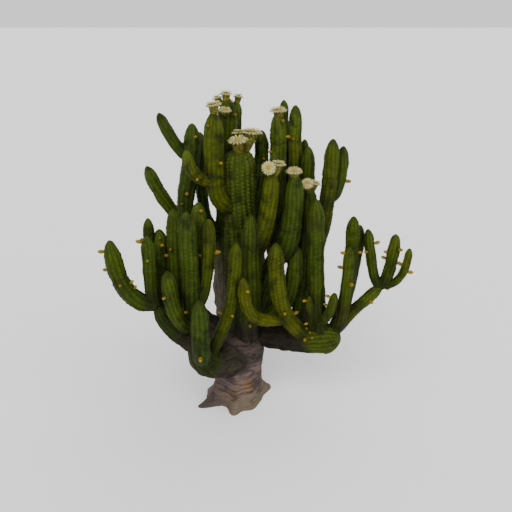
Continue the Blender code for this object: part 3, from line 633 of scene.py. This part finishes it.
def repeat_faces(template, count, size):
    """The same faces for each of many copies of a shape that has the given number of vertices."""
    shift = np.arange(count)[:, None, None] * size
    return (template[None] + shift).reshape(-1, template.shape[1])


def join(parts):
    """Several meshes of the same face kinds as one."""
    verts, quads, fans, count = [], [], [], 0
    for part, faces in parts:
        verts.append(part)
        quads.append(faces[0] + count)
        fans.append(faces[1] + count)
        count += len(part)
    return np.concatenate(verts), [np.concatenate(quads), np.concatenate(fans)]


def cross_frame(points):
    """Tangent and two cross directions of a limb. A limb bends in one upright plane, so the plane's normal
    serves as one cross direction all the way, and tangent x normal is the other."""
    tangent = unit(np.gradient(points, axis=0))
    flat = points[-1] - points[0]
    flat = np.array([flat[0], flat[1], 0.0])
    normal = np.cross(UP, flat)
    if np.linalg.norm(normal) < 1e-4:
        normal = np.array([1.0, 0.0, 0.0])
    side = np.broadcast_to(unit(normal), tangent.shape)
    return tangent, side, np.cross(tangent, side)


def rib_count(name, radius):
    """Ribs round a column: more on a thicker one."""
    if name == "leader":
        return 16
    if name == "right_bough":
        return 20
    return 8 if radius < 0.11 else 9 if radius < 0.15 else 10 if radius < 0.18 else 12


axes = {"trunk": np.array([(TRUNK_LEAN * z, 0.0, z) for z in np.linspace(0, TRUNK_AXIS, 241)])}
limbs = {}
for rows, taper, foot_width, kind in (
    (BOUGHS, 0.12, 1.10, "bough"),
    (STEMS, 0.10, 1.0, "stem"),
    (ARMS, 0.04, 0.66, "arm"),
):
    for name, parent, share, top, radius, hug, *dip in rows:
        axis = limb_axis(even(axes[parent], [share])[0], top, hug, *dip)
        axes[name] = axis
        length = float(np.linalg.norm(np.diff(axis, axis=0), axis=1).sum())
        limbs[name] = (axis, length, radius, TAPERS.get(name, taper),
                       FEET.get(name, (foot_width, FOOT_LENGTH)), CAPS.get(name, CAP_LENGTH), kind)

# Balls along every limb, as centres and radii, by which surfaces find how near their neighbours are
ball_shares = np.linspace(0.02, 0.98, 40)
BALLS = {name: (even(row[0], ball_shares), limb_radius(ball_shares, *row[1:6]))
         for name, row in limbs.items()}
BALLS["trunk"] = (even(axes["trunk"], np.linspace(0.0, 0.9, 40)), np.full(40, TRUNK_BASE))


def crowding(name, base, row_step, column_step):
    """How near the other limbs are to a surface, 1 where they touch, which sets the painted shade from near
    limbs: the sum of exp(-gap / 0.11 m) over the limbs, cut off at 1, found on a coarse grid over (row, turn)
    and spread evenly between its points."""
    rows = np.unique(np.append(np.arange(0, len(base), row_step), len(base) - 1))
    coarse = base[rows][:, ::column_step]
    total = np.zeros(coarse.shape[:2])
    for other, (centres, radii) in BALLS.items():
        if other != name:
            away = np.linalg.norm(coarse[:, :, None] - centres[None, None], axis=-1) - radii
            total += np.exp(-np.clip(away.min(axis=2), 0, None) / CROWD_REACH)
    total = np.minimum(total, 1.0)
    place = np.interp(np.arange(len(base)), rows, np.arange(len(rows)))
    low = np.minimum(place.astype(int), len(rows) - 2)
    part = (place - low)[:, None]
    total = total[low] * (1 - part) + total[low + 1] * part
    turn = np.arange(base.shape[1]) / column_step
    left = turn.astype(int)
    right = (left + 1) % total.shape[1]
    return total[:, left] * (1 - (turn - left)) + total[:, right] * (turn - left)


def foot_shade(points, names):
    """How close a surface comes to the named limbs that leave it: the largest exp(-gap / 32 mm), used as
    painted shade round their feet.
    """
    closest = np.zeros(points.shape[:-1])
    for name in names:
        for centre, radius in zip(*BALLS[name]):
            gap = np.linalg.norm(points - centre, axis=-1) - radius
            closest = np.maximum(closest, np.exp(-np.clip(gap, 0, None) / FOOT_SHADE_REACH))
    return closest


def line_lumps(along, shift, size, seed):
    """Lumps read along one straight line, at the given shift from the lattice's own."""
    return lumps(np.stack([along, along * 0 + shift, along * 0], -1), size, seed)


def column_rows(length, cap):
    """Distances up a limb's axis for its rings: even steps, then steps that shorten toward the tip's end."""
    body = np.linspace(0.0, length - cap, max(12, int((length - cap) / ROW_STEP)))
    return np.concatenate([body, length - cap + cap * np.sin(np.linspace(0, math.pi / 2, 14)[1:-1])])


def pinched_rings(look, kind, along, length, rng):
    """How deep a limb is pinched at each row: the largest exp(-(d / 30 mm)^2) over its rings, each with a
    strength of its own; a limb without places of its own gets one to three weaker ones."""
    places = look.get("rings")
    strength = 1.0 if places else 0.6
    if places is None:
        places = sorted(0.30 + 0.55 * rng.random(int(rng.integers(1, 4))))
    fold = np.zeros(len(along))
    for place in places:
        ring = np.exp(-((along - place * length) / PINCH_WIDTH) ** 2)
        fold = np.maximum(fold, ring * (0.55 + 0.45 * rng.random()) * strength)
    return fold * 0.4 if kind == "bough" else fold


def column_surface(name, index):
    """A ribbed column as a surface over (distance up the axis, turn round it). Its radius is the limb's
    own, times 1 - depth sin(pi f)^2 where f is the place across a rib from crest (0) to groove (1/2), times
    1 - 0.10 pinch, plus low lumps, a bead on the crest at every spine pad and lengthwise streaks where it
    is bark."""
    axis, length, radius, *_, cap_length, kind = limbs[name]
    look = LOOKS.get(name, {})
    rng = np.random.default_rng(900 + index)
    cap = cap_length * radius
    along = column_rows(length, cap)
    shares = along / length
    points = even(axis, shares)
    tangent, side, cross = cross_frame(points)
    ribs = rib_count(name, radius)
    columns = ribs * RIB_COLUMNS
    turn = np.arange(columns) / columns
    twist = 0.05 * np.sin(shares * 3.0 + index) + 0.02 * line_lumps(along, index, 0.4, 5)
    across = np.abs((turn * ribs) % 1.0 - 0.5) * 2
    start, stop = look.get("bark", (-0.30, 0.06 + 0.16 * rng.random()))
    wood = 1 - smooth(start, stop, shares)
    foot = smooth(0.02, 0.30, shares) if kind != "bough" else 1.0
    groove_depth, bead_size = LEADER_RIB if name == "leader" else USUAL_RIB
    depth = groove_depth * (1 - 0.80 * wood) * (0.4 + 0.6 * foot)
    rib = 1 - depth[:, None] * np.sin(math.pi / 2 * across)[None, :] ** 2
    fold = pinched_rings(look, kind, along, length, rng)
    grown = limb_radius(shares, *limbs[name][1:6])
    swell = 1 + 0.03 * line_lumps(along, 3.7 * index, 0.35, 11)
    level = grown * (1 - PINCH_DEPTH * fold) * swell
    angle = 2 * math.pi * (turn[None, :] + twist[:, None])
    ray = np.cos(angle)[..., None] * side[:, None, :] + np.sin(angle)[..., None] * cross[:, None, :]
    base = points[:, None, :] + (level[:, None] * rib)[..., None] * ray

    shift = (np.floor(turn * ribs) * RIB_SHIFT) % 1.0
    bead = np.cos(2 * math.pi * (along[:, None] / SPACING + shift[None, :] - 0.5))
    crown = np.clip(1 - across * 1.6, 0, 1)[None, :] * (1 - wood)[:, None]
    lift = 0.015 * lumps(base, 0.16, 21) + 0.004 * lumps(base, 0.05, 22) - bead_size * bead * crown
    bark_lift = 0.020 * lumps(base, 0.10, 31) + 0.010 * lumps(base, 0.035, 32)
    map_spot = np.stack(np.broadcast_arrays(turn * 26, along[:, None] * 2.2, 0.0), -1)
    streaks = np.abs(lumps(map_spot, 1.0, 33 + index))
    lift = lift + wood[:, None] * (bark_lift - 0.022 * (1 - streaks) ** 3)
    lift = lift * np.clip(grown / radius, 0, 1)[:, None] * min(1.0, radius / 0.15)
    verts = (base + lift[..., None] * ray).reshape(-1, 3)
    verts = np.concatenate([verts, points[:1], axis[-1:]])

    faces, where = round_faces(len(along), columns)
    rows_along = np.interp(where[:, 1], np.arange(len(along)), along)
    uv = np.stack([where[:, 0] / columns * ribs, rows_along], axis=-1)

    def spread(row_values, low, high):
        """A value of each row on all its points, then the values at the two ends."""
        return np.concatenate([np.repeat(row_values, columns), [low, high]])

    fresh_and_lit = look.get("fresh_and_lit", 1.0)
    # crowd: how much painted shade the near limbs lay on this surface
    crowd = np.append(crowding(name, base, 4, 6).ravel(), [1.0, 0.0])
    values = {
        "olive": np.full(len(verts), look.get("olive", 0.25 + 0.5 * rng.random())),
        "wood": spread(wood, wood[0], wood[-1]),
        "fold": spread(fold, 0.0, 0.0),
        "dots": np.full(len(verts), look.get("dots", USUAL_DOTS)),
        "soot_and_rib_shading": np.full(len(verts), look.get("soot_and_rib_shading", 0.35)),
        # paler toward the top: partly new growth, partly painted light on arms that lie in shade
        "fresh_and_lit": spread(smooth(0.25, 1.0, shares) * fresh_and_lit, 0.0, fresh_and_lit),
        "crowd": np.clip(crowd + look.get("dusk", 0.0), 0, 1),
    }
    crest = dict(points=points, side=side, cross=cross, tangent=tangent, along=along, twist=twist,
                 wood=wood, level=level, ribs=ribs, length=length, cap=cap)
    return verts, faces, uv, values, crest


def trunk_surface():
    """The trunk over (height, turn): its plain radius narrows to a neck and widens to the fork, roots add
    reach exp(-z / 0.23) exp(-(turn / width)^2), and the bark adds level folds from lumps flattened five to
    six times in z, which are shallower near the ground."""
    columns = TRUNK_COLUMNS
    crown_rise = TRUNK_CROWN - TRUNK_TOP
    height = np.concatenate([np.linspace(0, TRUNK_TOP, TRUNK_ROWS),
                             TRUNK_TOP + crown_rise * np.sin(np.linspace(0, math.pi / 2, 24)[1:-1])])
    angle = full_turn(columns)
    part = height / TRUNK_TOP
    plain = TRUNK_BASE + (TRUNK_NECK - TRUNK_BASE) * np.minimum(1, part / NECK_SHARE)
    widen = TRUNK_NECK + (TRUNK_FORK - TRUNK_NECK) * smooth(NECK_SHARE, FORK_SHARE, part)
    plain = np.where(part > NECK_SHARE, widen, plain)
    over = np.clip((height - TRUNK_TOP) / crown_rise, 0, 1)
    plain = plain * np.sqrt(np.clip(1 - over ** 2, 0, 1))
    radius = np.repeat((plain + 0.03 * np.exp(-height / 0.25))[:, None], columns, axis=1)
    for heading, reach, width in ROOTS:
        away = (angle - math.radians(heading) + math.pi) % (2 * math.pi) - math.pi
        swelling = np.exp(-((away / math.radians(width)) ** 2))
        radius = radius + reach * np.exp(-height / ROOT_FADE)[:, None] * swelling[None, :]
    ray = np.stack([np.cos(angle), np.sin(angle), 0 * angle], -1)[None]
    middle = np.stack([TRUNK_LEAN * height, 0 * height, height], -1)[:, None, :]
    base = middle + radius[..., None] * ray
    drift = np.stack([lumps(base, 0.30, 41), lumps(base, 0.30, 42), 0.9 * lumps(base, 0.22, 43)], -1)
    warp = base + 0.06 * drift
    crease = (1 - np.abs(lumps(warp, (0.42, 0.42, 0.075), 44))) ** 5
    nicks = (1 - np.abs(lumps(warp, (0.16, 0.16, 0.028), 45))) ** 4
    calm = 0.15 + 0.85 * smooth(-0.10, 0.30, height)[:, None]
    lift = 0.018 * lumps(base, 0.34, 46) + 0.012 * lumps(warp, (0.2, 0.2, 0.09), 47)
    lift = lift + 0.004 * lumps(base, 0.035, 48) - (0.022 * crease + 0.008 * nicks) * calm
    lift = lift * np.clip(plain / TRUNK_BASE, 0, 1)[:, None]
    verts = (base + lift[..., None] * ray).reshape(-1, 3)
    verts = np.concatenate([verts, [[0.0, 0.0, 0.0], [TRUNK_LEAN * TRUNK_CROWN, 0.0, TRUNK_CROWN]]])
    faces = round_faces(len(height), columns)[0]
    # painted shade: crowd where near limbs crowd, dip in the creases of the folds and round the feet of the
    # boughs and leader
    crowd = np.append(crowding("trunk", base, 8, 8).ravel(), [0.0, 1.0])
    dark = foot_shade(base, ("left_bough", "right_bough", "leader"))
    dip = np.maximum((0.55 * crease + 0.30 * nicks) * calm, dark)
    return verts, faces, {"dip": np.append(dip.ravel(), [0.0, 0.0]), "crowd": crowd}


# ---- build the bark and the columns
flesh = make_flesh()
verts, faces, values = trunk_surface()
add_piece("trunk_bark", verts, faces, make_trunk_bark(), "bark", "trunk", None, values)

crests = {}
for index, name in enumerate(limbs):
    verts, faces, uv, values, crests[name] = column_surface(name, index)
    slot = "bark" if limbs[name][6] == "bough" else "green_flesh"
    add_piece(name + "_skin", verts, faces, flesh, slot, name, uv, values)


# ---- spine pads and spines on the rib crests
def column_pads(name, crest):
    """The spine pads of one column: place on the crest, way out, way up the rib, and size."""
    ribs = crest["ribs"]
    rib = np.arange(ribs)
    number = np.arange(0, int(crest["length"] / SPACING) + 2)
    along = ((number[:, None] + 0.5 - ((rib * RIB_SHIFT) % 1.0)[None, :]) * SPACING).ravel()
    turn = np.broadcast_to((rib + 0.5) / ribs, (len(number), ribs)).ravel()

    def pick(row_values):
        """The values, one or three wide, at the pads' own distances up the limb."""
        if row_values.ndim == 1:
            return np.interp(along, crest["along"], row_values)
        return np.stack([pick(column) for column in row_values.T], -1)

    keep = (along > 0.10) & (along < crest["length"] - 0.25 * crest["cap"]) & (pick(crest["wood"]) < 0.4)
    along, turn = along[keep], turn[keep]
    angle = 2 * math.pi * (turn + pick(crest["twist"]))
    out = np.cos(angle)[:, None] * pick(crest["side"]) + np.sin(angle)[:, None] * pick(crest["cross"])
    tangent = pick(crest["tangent"])
    spot = pick(crest["points"]) + pick(crest["level"])[:, None] * out
    narrowing = np.clip(-pick(np.gradient(crest["level"], crest["along"])), 0, 3)
    normal = unit(out + narrowing[:, None] * tangent)
    wide = np.full((len(spot), 1), 0.4 + 0.8 * LOOKS.get(name, {}).get("dots", USUAL_DOTS))
    return np.concatenate([spot, normal, tangent, wide], axis=1)


pads = np.concatenate([column_pads(name, crest) for name, crest in crests.items()])
spot, normal, rise, wide = np.split(pads, (3, 6, 9), axis=1)
spot = spot + 0.010 * lumps(spot, 0.16, 21)[:, None] * normal
rise = unit(rise - (rise * normal).sum(1)[:, None] * normal)
level_side = np.cross(rise, normal)


def ring_round_pads(columns, sideways, upward):
    """Corners of an oval round each pad, as steps away from its middle."""
    turn = full_turn(columns)[None, :, None]
    return sideways * np.cos(turn) * level_side[:, None] + upward * np.sin(turn) * rise[:, None]


def pad_mesh():
    """A low oval dome on each pad place: a ring of five corners 24 mm tall and 17 mm wide, times the pad's
    size, under one raised point."""
    ring = spot[:, None] + wide[:, None] * ring_round_pads(5, *PAD_SPAN) - 0.003 * normal[:, None]
    peak = spot + 0.006 * normal
    verts = np.concatenate([ring, peak[:, None]], axis=1).reshape(-1, 3)
    k = np.arange(5)
    sides = repeat_faces(np.stack([np.full(5, 5), k, (k + 1) % 5], -1), len(spot), 6)
    base = repeat_faces(np.array([[0, 2, 1], [0, 3, 2], [0, 4, 3]]), len(spot), 6)
    return verts, [sides, base]


def spine_mesh(seed):
    """One three-sided thorn on each pad, 14 to 28 mm long and 2.8 mm wide, leaning off the normal."""
    rng = np.random.default_rng(seed)
    lean = rng.uniform(-1, 1, (len(spot), 2))
    way = unit(normal + 0.9 * lean[:, :1] * level_side + 0.9 * lean[:, 1:] * rise)
    length = rng.uniform(*SPINE_LENGTHS, (len(spot), 1))
    ring = spot[:, None] + SPINE_RADIUS * ring_round_pads(3, 1.0, 1.0)
    verts = np.concatenate([ring, (spot + way * length)[:, None]], axis=1).reshape(-1, 3)
    return verts, [repeat_faces(np.array([[0, 1, 3], [1, 2, 3], [2, 0, 3], [0, 2, 1]]), len(spot), 4)]


pad_finish = make_plain("pad_wool", (0.014, 0.014, 0.006), (0.075, 0.066, 0.034), 60.0, 0.9, 0.3, gloss=0.1)
spine_finish = make_plain("spine_horn", (0.10, 0.085, 0.055), (0.22, 0.19, 0.13), 30.0, bump=0.3)
add_piece("spine_pads", *pad_mesh(), pad_finish, "green_flesh")
for number in (1, 2, 3):
    add_piece("spines_%d" % number, *spine_mesh(40 + number), spine_finish, "green_flesh")


# ---- fruit
def basis(direction):
    """Unit direction and two directions across it."""
    direction = unit(np.asarray(direction, float))
    lean = np.array([1.0, 0.0, 0.0]) if abs(direction[0]) < 0.7 else np.array([0.0, 1.0, 0.0])
    side = unit(lean - direction * float(lean @ direction))
    return direction, side, np.cross(direction, side)


def turned(centre, ways, high, reach, turn, ends):
    """Points over (row, turn): centre + high way + reach (cos turn side + sin turn cross). Then one more
    point for each end, centre + end way."""
    way, side, cross = ways
    grid = (centre + high[..., None] * way
            + (reach * np.cos(turn))[..., None] * side + (reach * np.sin(turn))[..., None] * cross)
    return np.concatenate([grid.reshape(-1, 3), [centre + end * way for end in ends]])


def fruit_mesh(places):
    """Burr fruit over (way along, turn): a stub that swells to a round head, with knobs
    1 + 0.13 cos(7 turn + 3.2 floor(10 t)) sin(pi t) over it, 3.5 times as long as its size."""
    rows, columns = 11, 14
    t = np.linspace(0.04, 0.97, rows)[:, None]
    turn = full_turn(columns)
    body = np.sqrt(np.clip(1 - (2 * t - 1) ** 2, 0, 1)) * (0.80 + 0.20 * t)
    knobs = 1 + 0.13 * np.cos(7 * turn + 3.2 * np.floor(t * 10)) * np.sin(math.pi * t)
    faces = round_faces(rows, columns)[0]
    parts = []
    for place, out, size in places:
        length = size * FRUIT_LENGTH
        radius = 0.94 * size * body * knobs
        parts.append((turned(place, basis(out), t * length, radius, turn, (0.0, length)), faces))
    return join(parts)


def fruit_places():
    """Each fruit's place, with its foot inside the column's crest, the way it points, and its size."""
    rng = np.random.default_rng(77)
    places = []
    for name, spots in FRUIT.items():
        axis = limbs[name][0]
        for share, bearing, *lift in spots:
            place, ahead = even(axis, [share, min(1.0, share + 0.02)])
            ahead = unit(ahead - even(axis, [share - 0.02])[0])
            rise = math.radians(lift[0] if lift else 0)
            turn = math.radians(bearing)
            level = math.cos(rise)
            out = np.array([math.sin(turn) * level, -math.cos(turn) * level, math.sin(rise)])
            out = out - ahead * float(out @ ahead)
            out = unit(unit(out) + 0.25 * ahead)
            reach = float(limb_radius([share], *limbs[name][1:6])[0]) * 0.95
            places.append((place + out * (reach - 0.02), out, 0.030 + 0.013 * rng.random()))
    return places


fruits = fruit_places()
ochre = make_plain("fruit_ochre", (0.105, 0.070, 0.003), (0.225, 0.158, 0.008), 25.0)
amber = make_plain("fruit_amber", (0.068, 0.047, 0.004), (0.150, 0.106, 0.008), 25.0)
add_piece("fruit_yellow", *fruit_mesh(fruits[0::3] + fruits[1::3]), ochre, "green_flesh")
add_piece("fruit_brown", *fruit_mesh(fruits[2::3]), amber, "green_flesh")


# ---- flowers
def petal_ring(centre, direction, inner, outer, count, width, lift, droop, rng):
    """Closed thin petals round a flower. Along a petal t runs 0 to 1, the distance out is
    inner + (outer - inner) t, the height lift sin(pi t / 2) - droop t^2, and the width is times
    sin(pi (0.20 + 0.74 t^1.4)). Each row has six corners."""
    way, side, cross = basis(direction)
    rows = 6
    t = np.linspace(0.0, 1.0, rows)
    turn = (np.arange(count) + rng.uniform(-0.18, 0.18, count)) * 2 * math.pi / count + rng.uniform(0, 6)
    long = rng.uniform(0.88, 1.06, count)
    out = np.cos(turn)[:, None] * side + np.sin(turn)[:, None] * cross
    level = np.cross(way, out)
    reach = inner + (outer - inner) * t[None, :] * long[:, None]
    curve = lift * np.sin(math.pi * t / 2) - droop * t ** 2
    high = curve[None, :] + rng.uniform(-0.006, 0.006, count)[:, None]
    wide = width * np.sin(math.pi * (0.20 + 0.74 * t ** 1.4))
    corner = np.arange(6) * math.pi / 3
    ring_h = np.sin(corner) * 0.0036 + 0.34 * width * np.cos(corner) ** 2
    verts = (centre + reach[:, :, None, None] * out[:, None, None, :]
             + (high[:, :, None] + ring_h)[..., None] * way
             + (wide[None, :, None] * np.cos(corner))[..., None] * level[:, None, None, :])
    verts = verts.reshape(count, rows * 6, 3)
    foot = verts[:, :6].mean(1, keepdims=True)
    tip = verts[:, -6:].mean(1, keepdims=True)
    verts = np.concatenate([verts, foot, tip], axis=1)
    faces = round_faces(rows, 6)[0]
    return verts.reshape(-1, 3), [repeat_faces(part[:, ::-1], count, rows * 6 + 2) for part in faces]


def tube_mesh(start, centre, radius):
    """The scaly flower tube over (way along, turn): narrow at its foot, widening to the rim. Its scales are
    a bump that drops back every eighth of the length and shifts by half a scale each time."""
    length = float(np.linalg.norm(centre - start))
    rows, columns = 37, 28
    t = np.linspace(0.0, 1.0, rows)[:, None]
    turn = full_turn(columns)
    profile = radius * (0.30 + 0.30 * t ** 1.2) + 0.012 * np.sin(math.pi * t)
    scale = ((t * 8) % 1.0) * (0.5 + 0.5 * np.cos(7 * turn + math.pi * np.floor(t * 8)))
    verts = turned(start, basis(centre - start), t * (length - 0.012), profile * (1 + 0.12 * scale), turn,
                   (-0.01, length - 0.035))
    return verts, round_faces(rows, columns)[0]


def heart_mesh(centre, direction, radius):
    """The stamens over (way in, turn): a low dome with bumps of radius * 0.10 cos(9 turn + 2 t) cos(15 t)."""
    rows, columns = 9, 27
    t = np.linspace(0.0, 0.94, rows)[:, None]
    turn = full_turn(columns)
    reach = radius * (1 - t) * (1 + 0.10 * np.cos(9 * turn))
    high = radius * (0.10 + 0.42 * np.sqrt(t)) + 0.10 * radius * np.cos(9 * turn + 2.0 * t) * np.cos(15 * t)
    verts = turned(centre, basis(direction), high, reach, turn, (-0.02, radius * 0.5))
    return verts, round_faces(rows, columns)[0]


# Rings of petals: set back from the open face, inner and outer reach, number, width, lift and droop; the
# reaches and the width are times the flower's radius
PETAL_RINGS = [(0.016, 0.30, 1.04, 19, 0.092, 0.010, 0.026), (0.004, 0.25, 0.84, 13, 0.076, 0.036, 0.014)]
SEPAL_RINGS = [(0.030, 0.50, 0.98, 16, 0.105, 0.010, 0.022)]

rng = np.random.default_rng(5)
petals, sepals, tubes, hearts = [], [], [], []
for name, centre, facing, radius in FLOWERS:
    centre = np.array(centre, float)
    facing = np.array(facing, float) / np.linalg.norm(facing)
    start = centre - facing * (1.25 * radius + 0.10)
    start = start + (even(limbs[name][0], [0.955])[0] - start) * 0.55
    tubes.append(tube_mesh(start, centre - facing * 0.012, radius))
    for group, rings in ((petals, PETAL_RINGS), (sepals, SEPAL_RINGS)):
        for back, inner, outer, count, width, lift, droop in rings:
            group.append(petal_ring(centre - facing * back, facing, radius * inner, radius * outer, count,
                                    radius * width, lift, droop, rng))
    hearts.append(heart_mesh(centre - facing * 0.004, facing, radius * 0.34))
white = make_plain("petal_white", (0.33, 0.30, 0.115), (0.51, 0.47, 0.225), 40.0, bump=0.1)
sepal_green = make_plain("sepal_green", (0.16, 0.17, 0.045), (0.28, 0.27, 0.10), 40.0, bump=0.1)
tube_green = make_plain("tube_green", (0.035, 0.036, 0.004), (0.130, 0.115, 0.010), 22.0, bump=0.6)
yellow = make_plain("stamen_yellow", (0.22, 0.14, 0.003), (0.42, 0.30, 0.008), 70.0, 0.7, 0.6)
add_piece("flower_petals", *join(petals), white, "green_flesh")
add_piece("flower_sepals", *join(sepals), sepal_green, "green_flesh")
add_piece("flower_tubes", *join(tubes), tube_green, "green_flesh")
add_piece("flower_hearts", *join(hearts), yellow, "green_flesh")


# ---- floor, light and camera
def add_floor():
    """A plain pale floor, far larger than the plant."""
    mesh = bpy.data.meshes.new("floor")
    reach = 2500.0
    corners = [(-reach, -reach, 0), (reach, -reach, 0), (reach, reach, 0), (-reach, reach, 0)]
    mesh.from_pydata(corners, [], [(0, 1, 2, 3)])
    finish = Finish("floor_white", Base_Color=(0.82, 0.82, 0.82), Roughness=0.9, Specular_IOR_Level=0.0)
    mesh.materials.append(finish.material)
    add_object("floor", mesh)


def add_light(name, place, strength, spread):
    """A broad soft light that shines from a place toward the foot of the plant."""
    light = bpy.data.lights.new(name, "SUN")
    light.energy = strength
    light.angle = math.radians(spread)
    lamp = add_object(name, light)
    x, y, z = place
    lamp.rotation_euler = (math.atan2(math.hypot(x, y), z), 0.0, math.atan2(x, -y))
    lamp.location = place


def add_backdrop():
    """A plain white surround that is brighter toward the horizon: 0.85 overhead and 1.05 level."""
    world = bpy.data.worlds.new("studio")
    world.use_nodes = True
    tree = world.node_tree
    place = tree.nodes.new("ShaderNodeTexCoord")
    parts = tree.nodes.new("ShaderNodeSeparateXYZ")
    level = tree.nodes.new("ShaderNodeMapRange")
    level.interpolation_type = "SMOOTHSTEP"
    for key, value in (("From Min", 0.0), ("From Max", 0.40), ("To Min", 1.05), ("To Max", 0.85)):
        level.inputs[key].default_value = value
    ground = tree.nodes["Background"]
    ground.inputs["Color"].default_value = (1.0, 1.0, 1.0, 1.0)
    tree.links.new(place.outputs["Generated"], parts.inputs["Vector"])
    tree.links.new(parts.outputs["Z"], level.inputs["Value"])
    tree.links.new(level.outputs["Result"], ground.inputs["Strength"])
    bpy.context.scene.world = world


def add_camera():
    """Fifty millimetre lens, 14.2 m from a point 3.2 m up the plant, looking down by 20 degrees."""
    camera = bpy.data.cameras.new("camera")
    camera.lens = 50.0
    camera.sensor_width = 36.0
    camera.clip_end = 200.0
    eye = add_object("camera", camera)
    away = 14.2
    down = math.radians(20)
    eye.location = (0.387, -away * math.cos(down), 3.2 + away * math.sin(down))
    eye.rotation_euler = (math.radians(90) - down, 0.0, 0.0)
    bpy.context.scene.camera = eye


add_floor()
add_light("key", (-2.4, -10.0, 9.5), 2.6, 40)
add_light("side", (9.0, -7.0, 8.0), 0.9, 50)
add_light("fill", (7.0, 8.0, 9.0), 0.9, 60)
add_backdrop()
add_camera()
